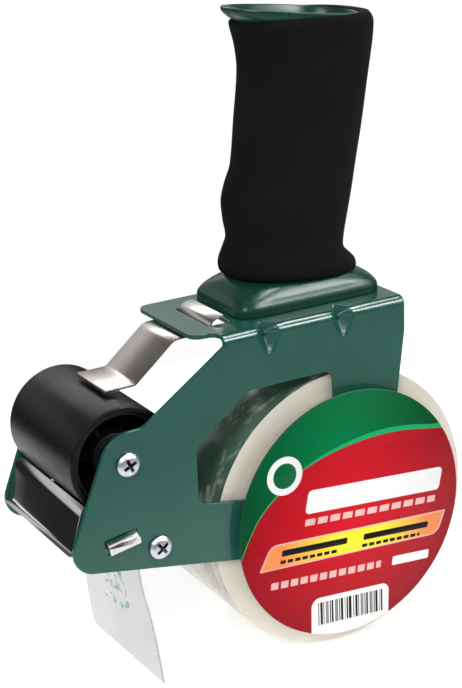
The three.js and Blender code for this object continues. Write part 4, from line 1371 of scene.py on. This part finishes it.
def film_path():
    film_r = ROLLER_R + 0.25
    roll_r = ROLL_R + 0.12
    between = math.atan2(ROLLER_Z, ROLLER_X)
    spread = math.acos((roll_r - film_r) / math.hypot(ROLLER_X, ROLLER_Z))
    lift_off = math.degrees(between - spread)
    lip = Vector((LIP_X, TAB["z"] + 4.2))
    to_lip = lip - Vector((ROLLER_X, ROLLER_Z))
    leave = math.degrees(math.atan2(to_lip.y, to_lip.x) - math.acos(film_r / to_lip.length)) + 360
    start = Vector((roll_r * math.cos(math.radians(lift_off)), roll_r * math.sin(math.radians(lift_off))))
    wrap = [Vector(p) for p in arc(ROLLER_X, ROLLER_Z, film_r, lift_off, leave, 40)]
    run = [start.lerp(wrap[0], k / 12) for k in range(12)]
    drop = [wrap[-1].lerp(lip, k / 6) for k in range(1, 6)]
    tail = smooth_path([tuple(lip), (-80.75, 9), (-80.75, 5.7), (-80.6, -2), (-79.6, -10), (-77.7, -19),
                        (-75.9, -30),
                        (-73.8, -46.6)], 5)
    return run + wrap + drop + [Vector(p) for p in tail]


TAIL_TOP, TAIL_LENGTH = 5.7, 52.5
TAIL_TWIST, TAIL_SKEW = 3.1, 2.8


def twisted(point):
    """The free end hangs with its far side forward and its cut edge rising to the far side."""
    x, y, z = point
    down = min(1, max(0, (TAIL_TOP - z) / TAIL_LENGTH))
    share = (y - WEB_LOW.y) / (WEB_HIGH.y - WEB_LOW.y)
    t = min(1, down / 0.86)
    return x - TAIL_TWIST * share * t * t * (3 - 2 * t), y, z + TAIL_SKEW * share * down ** 2


def film_shape():
    path = film_path()
    whole = extruded(strip_outline(path, FILM), WEB_LOW.y, WEB_HIGH.y, bevel=0.02, steps=1)
    curl = [Vector((p.x + 0.3, p.y)) for p in path if p.y < TAIL_TOP - 3 and p.x > LIP_X - 1]
    edge = extruded(strip_outline(curl, FILM), WEB_LOW.y, WEB_LOW.y + 1.5, bevel=0.02, steps=1)
    vertices, faces = joined(whole, edge)
    return [twisted(v) for v in vertices], faces


film = add_piece("loose_film", film_shape(), "frame", CLEAR, ["tape_web", "tape_tail"], 50)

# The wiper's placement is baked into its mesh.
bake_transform(wiper)

# --- stage
make_camera()
DAYLIGHT = 0.5
STRIP_LIGHT = 22


def make_world():
    """White to the camera, soft grey light, and a studio of dark bands and bright panels in reflections."""
    world = bpy.data.worlds.new("studio")
    bpy.context.scene.world = world
    world.use_nodes = True
    n = Nodes(world.node_tree)
    background = world.node_tree.nodes["Background"]
    x, y, z = n.split(n.add("ShaderNodeTexCoord").outputs["Generated"])
    height = n.math("ADD", n.math("MULTIPLY", z, 0.5), 0.5)

    def tone(stops):
        return n.ramp(height, [(at, (v, v, v)) for at, v in stops])

    behind = tone([(0.0, 0.5), (0.36, 0.3), (0.40, 0.02), (0.53, 0.02), (0.58, 0.62), (0.69, 0.76),
                   (0.73, 0.14), (0.9, 0.08), (1.0, 0.5)])
    ahead = tone([(0.0, 0.7), (0.36, 0.7), (0.41, 0.05), (0.50, 0.04), (0.60, 0.25), (0.74, 0.3),
                  (0.84, 0.12), (1.0, 0.3)])
    side = n.mask(y, 0.0, 0.3)
    # the strips lie only where the metal mirrors towards the front left
    facing = n.times(n.near(x, 0.46, 0.17), n.below(y, 0.16))
    strips = n.times(n.plus(n.near(height, 0.79, 0.05), n.near(height, 0.94, 0.025)), facing)
    reflected = n.mix(strips, n.mix(side, ahead, behind), (STRIP_LIGHT, STRIP_LIGHT, STRIP_LIGHT, 1))
    rays = n.add("ShaderNodeLightPath")
    seen = n.mix(rays.outputs["Is Glossy Ray"], (DAYLIGHT, DAYLIGHT, DAYLIGHT, 1), reflected)
    n.set(background, "Color", n.mix(rays.outputs["Is Camera Ray"], seen, (1.0, 1.0, 1.0, 1)))
    background.inputs["Strength"].default_value = 1


def make_floor():
    low = min(cad_box[0][2], cad_box[1][2])
    mesh = bpy.data.meshes.new("floor")
    half_width, front, back = 0.3, -0.13, 0.3
    mesh.from_pydata([(-half_width, front, low), (half_width, front, low), (half_width, back, low),
                      (-half_width, back, low)], [], [(0, 1, 2, 3)])
    floor = linked("floor", mesh)
    material, n = new_material("floor", Roughness=0.7, Emission_Color=(1, 1, 1, 1), Emission_Strength=0.5)
    cloud = n.noise(n.place(), 3, 2)
    n.set(n.shader, "Base Color", n.ramp(cloud, [(0.3, (0.80, 0.80, 0.80)), (0.7, (0.82, 0.82, 0.82))]))
    mesh.materials.append(material)


make_world()
make_floor()
area_light("key", (-0.9, -0.9, 1.1), (-0.02, 0.03, 0.05), (0.7, 0.7), 13)
area_light("fill", (0.9, -0.8, 0.6), (0, 0.03, 0.03), (0.8, 0.8), 4)
area_light("back", (0.2, 1.2, 0.9), (0, 0.03, 0.05), (0.9, 0.5), 4)
bpy.context.scene.view_settings.view_transform = "Standard"
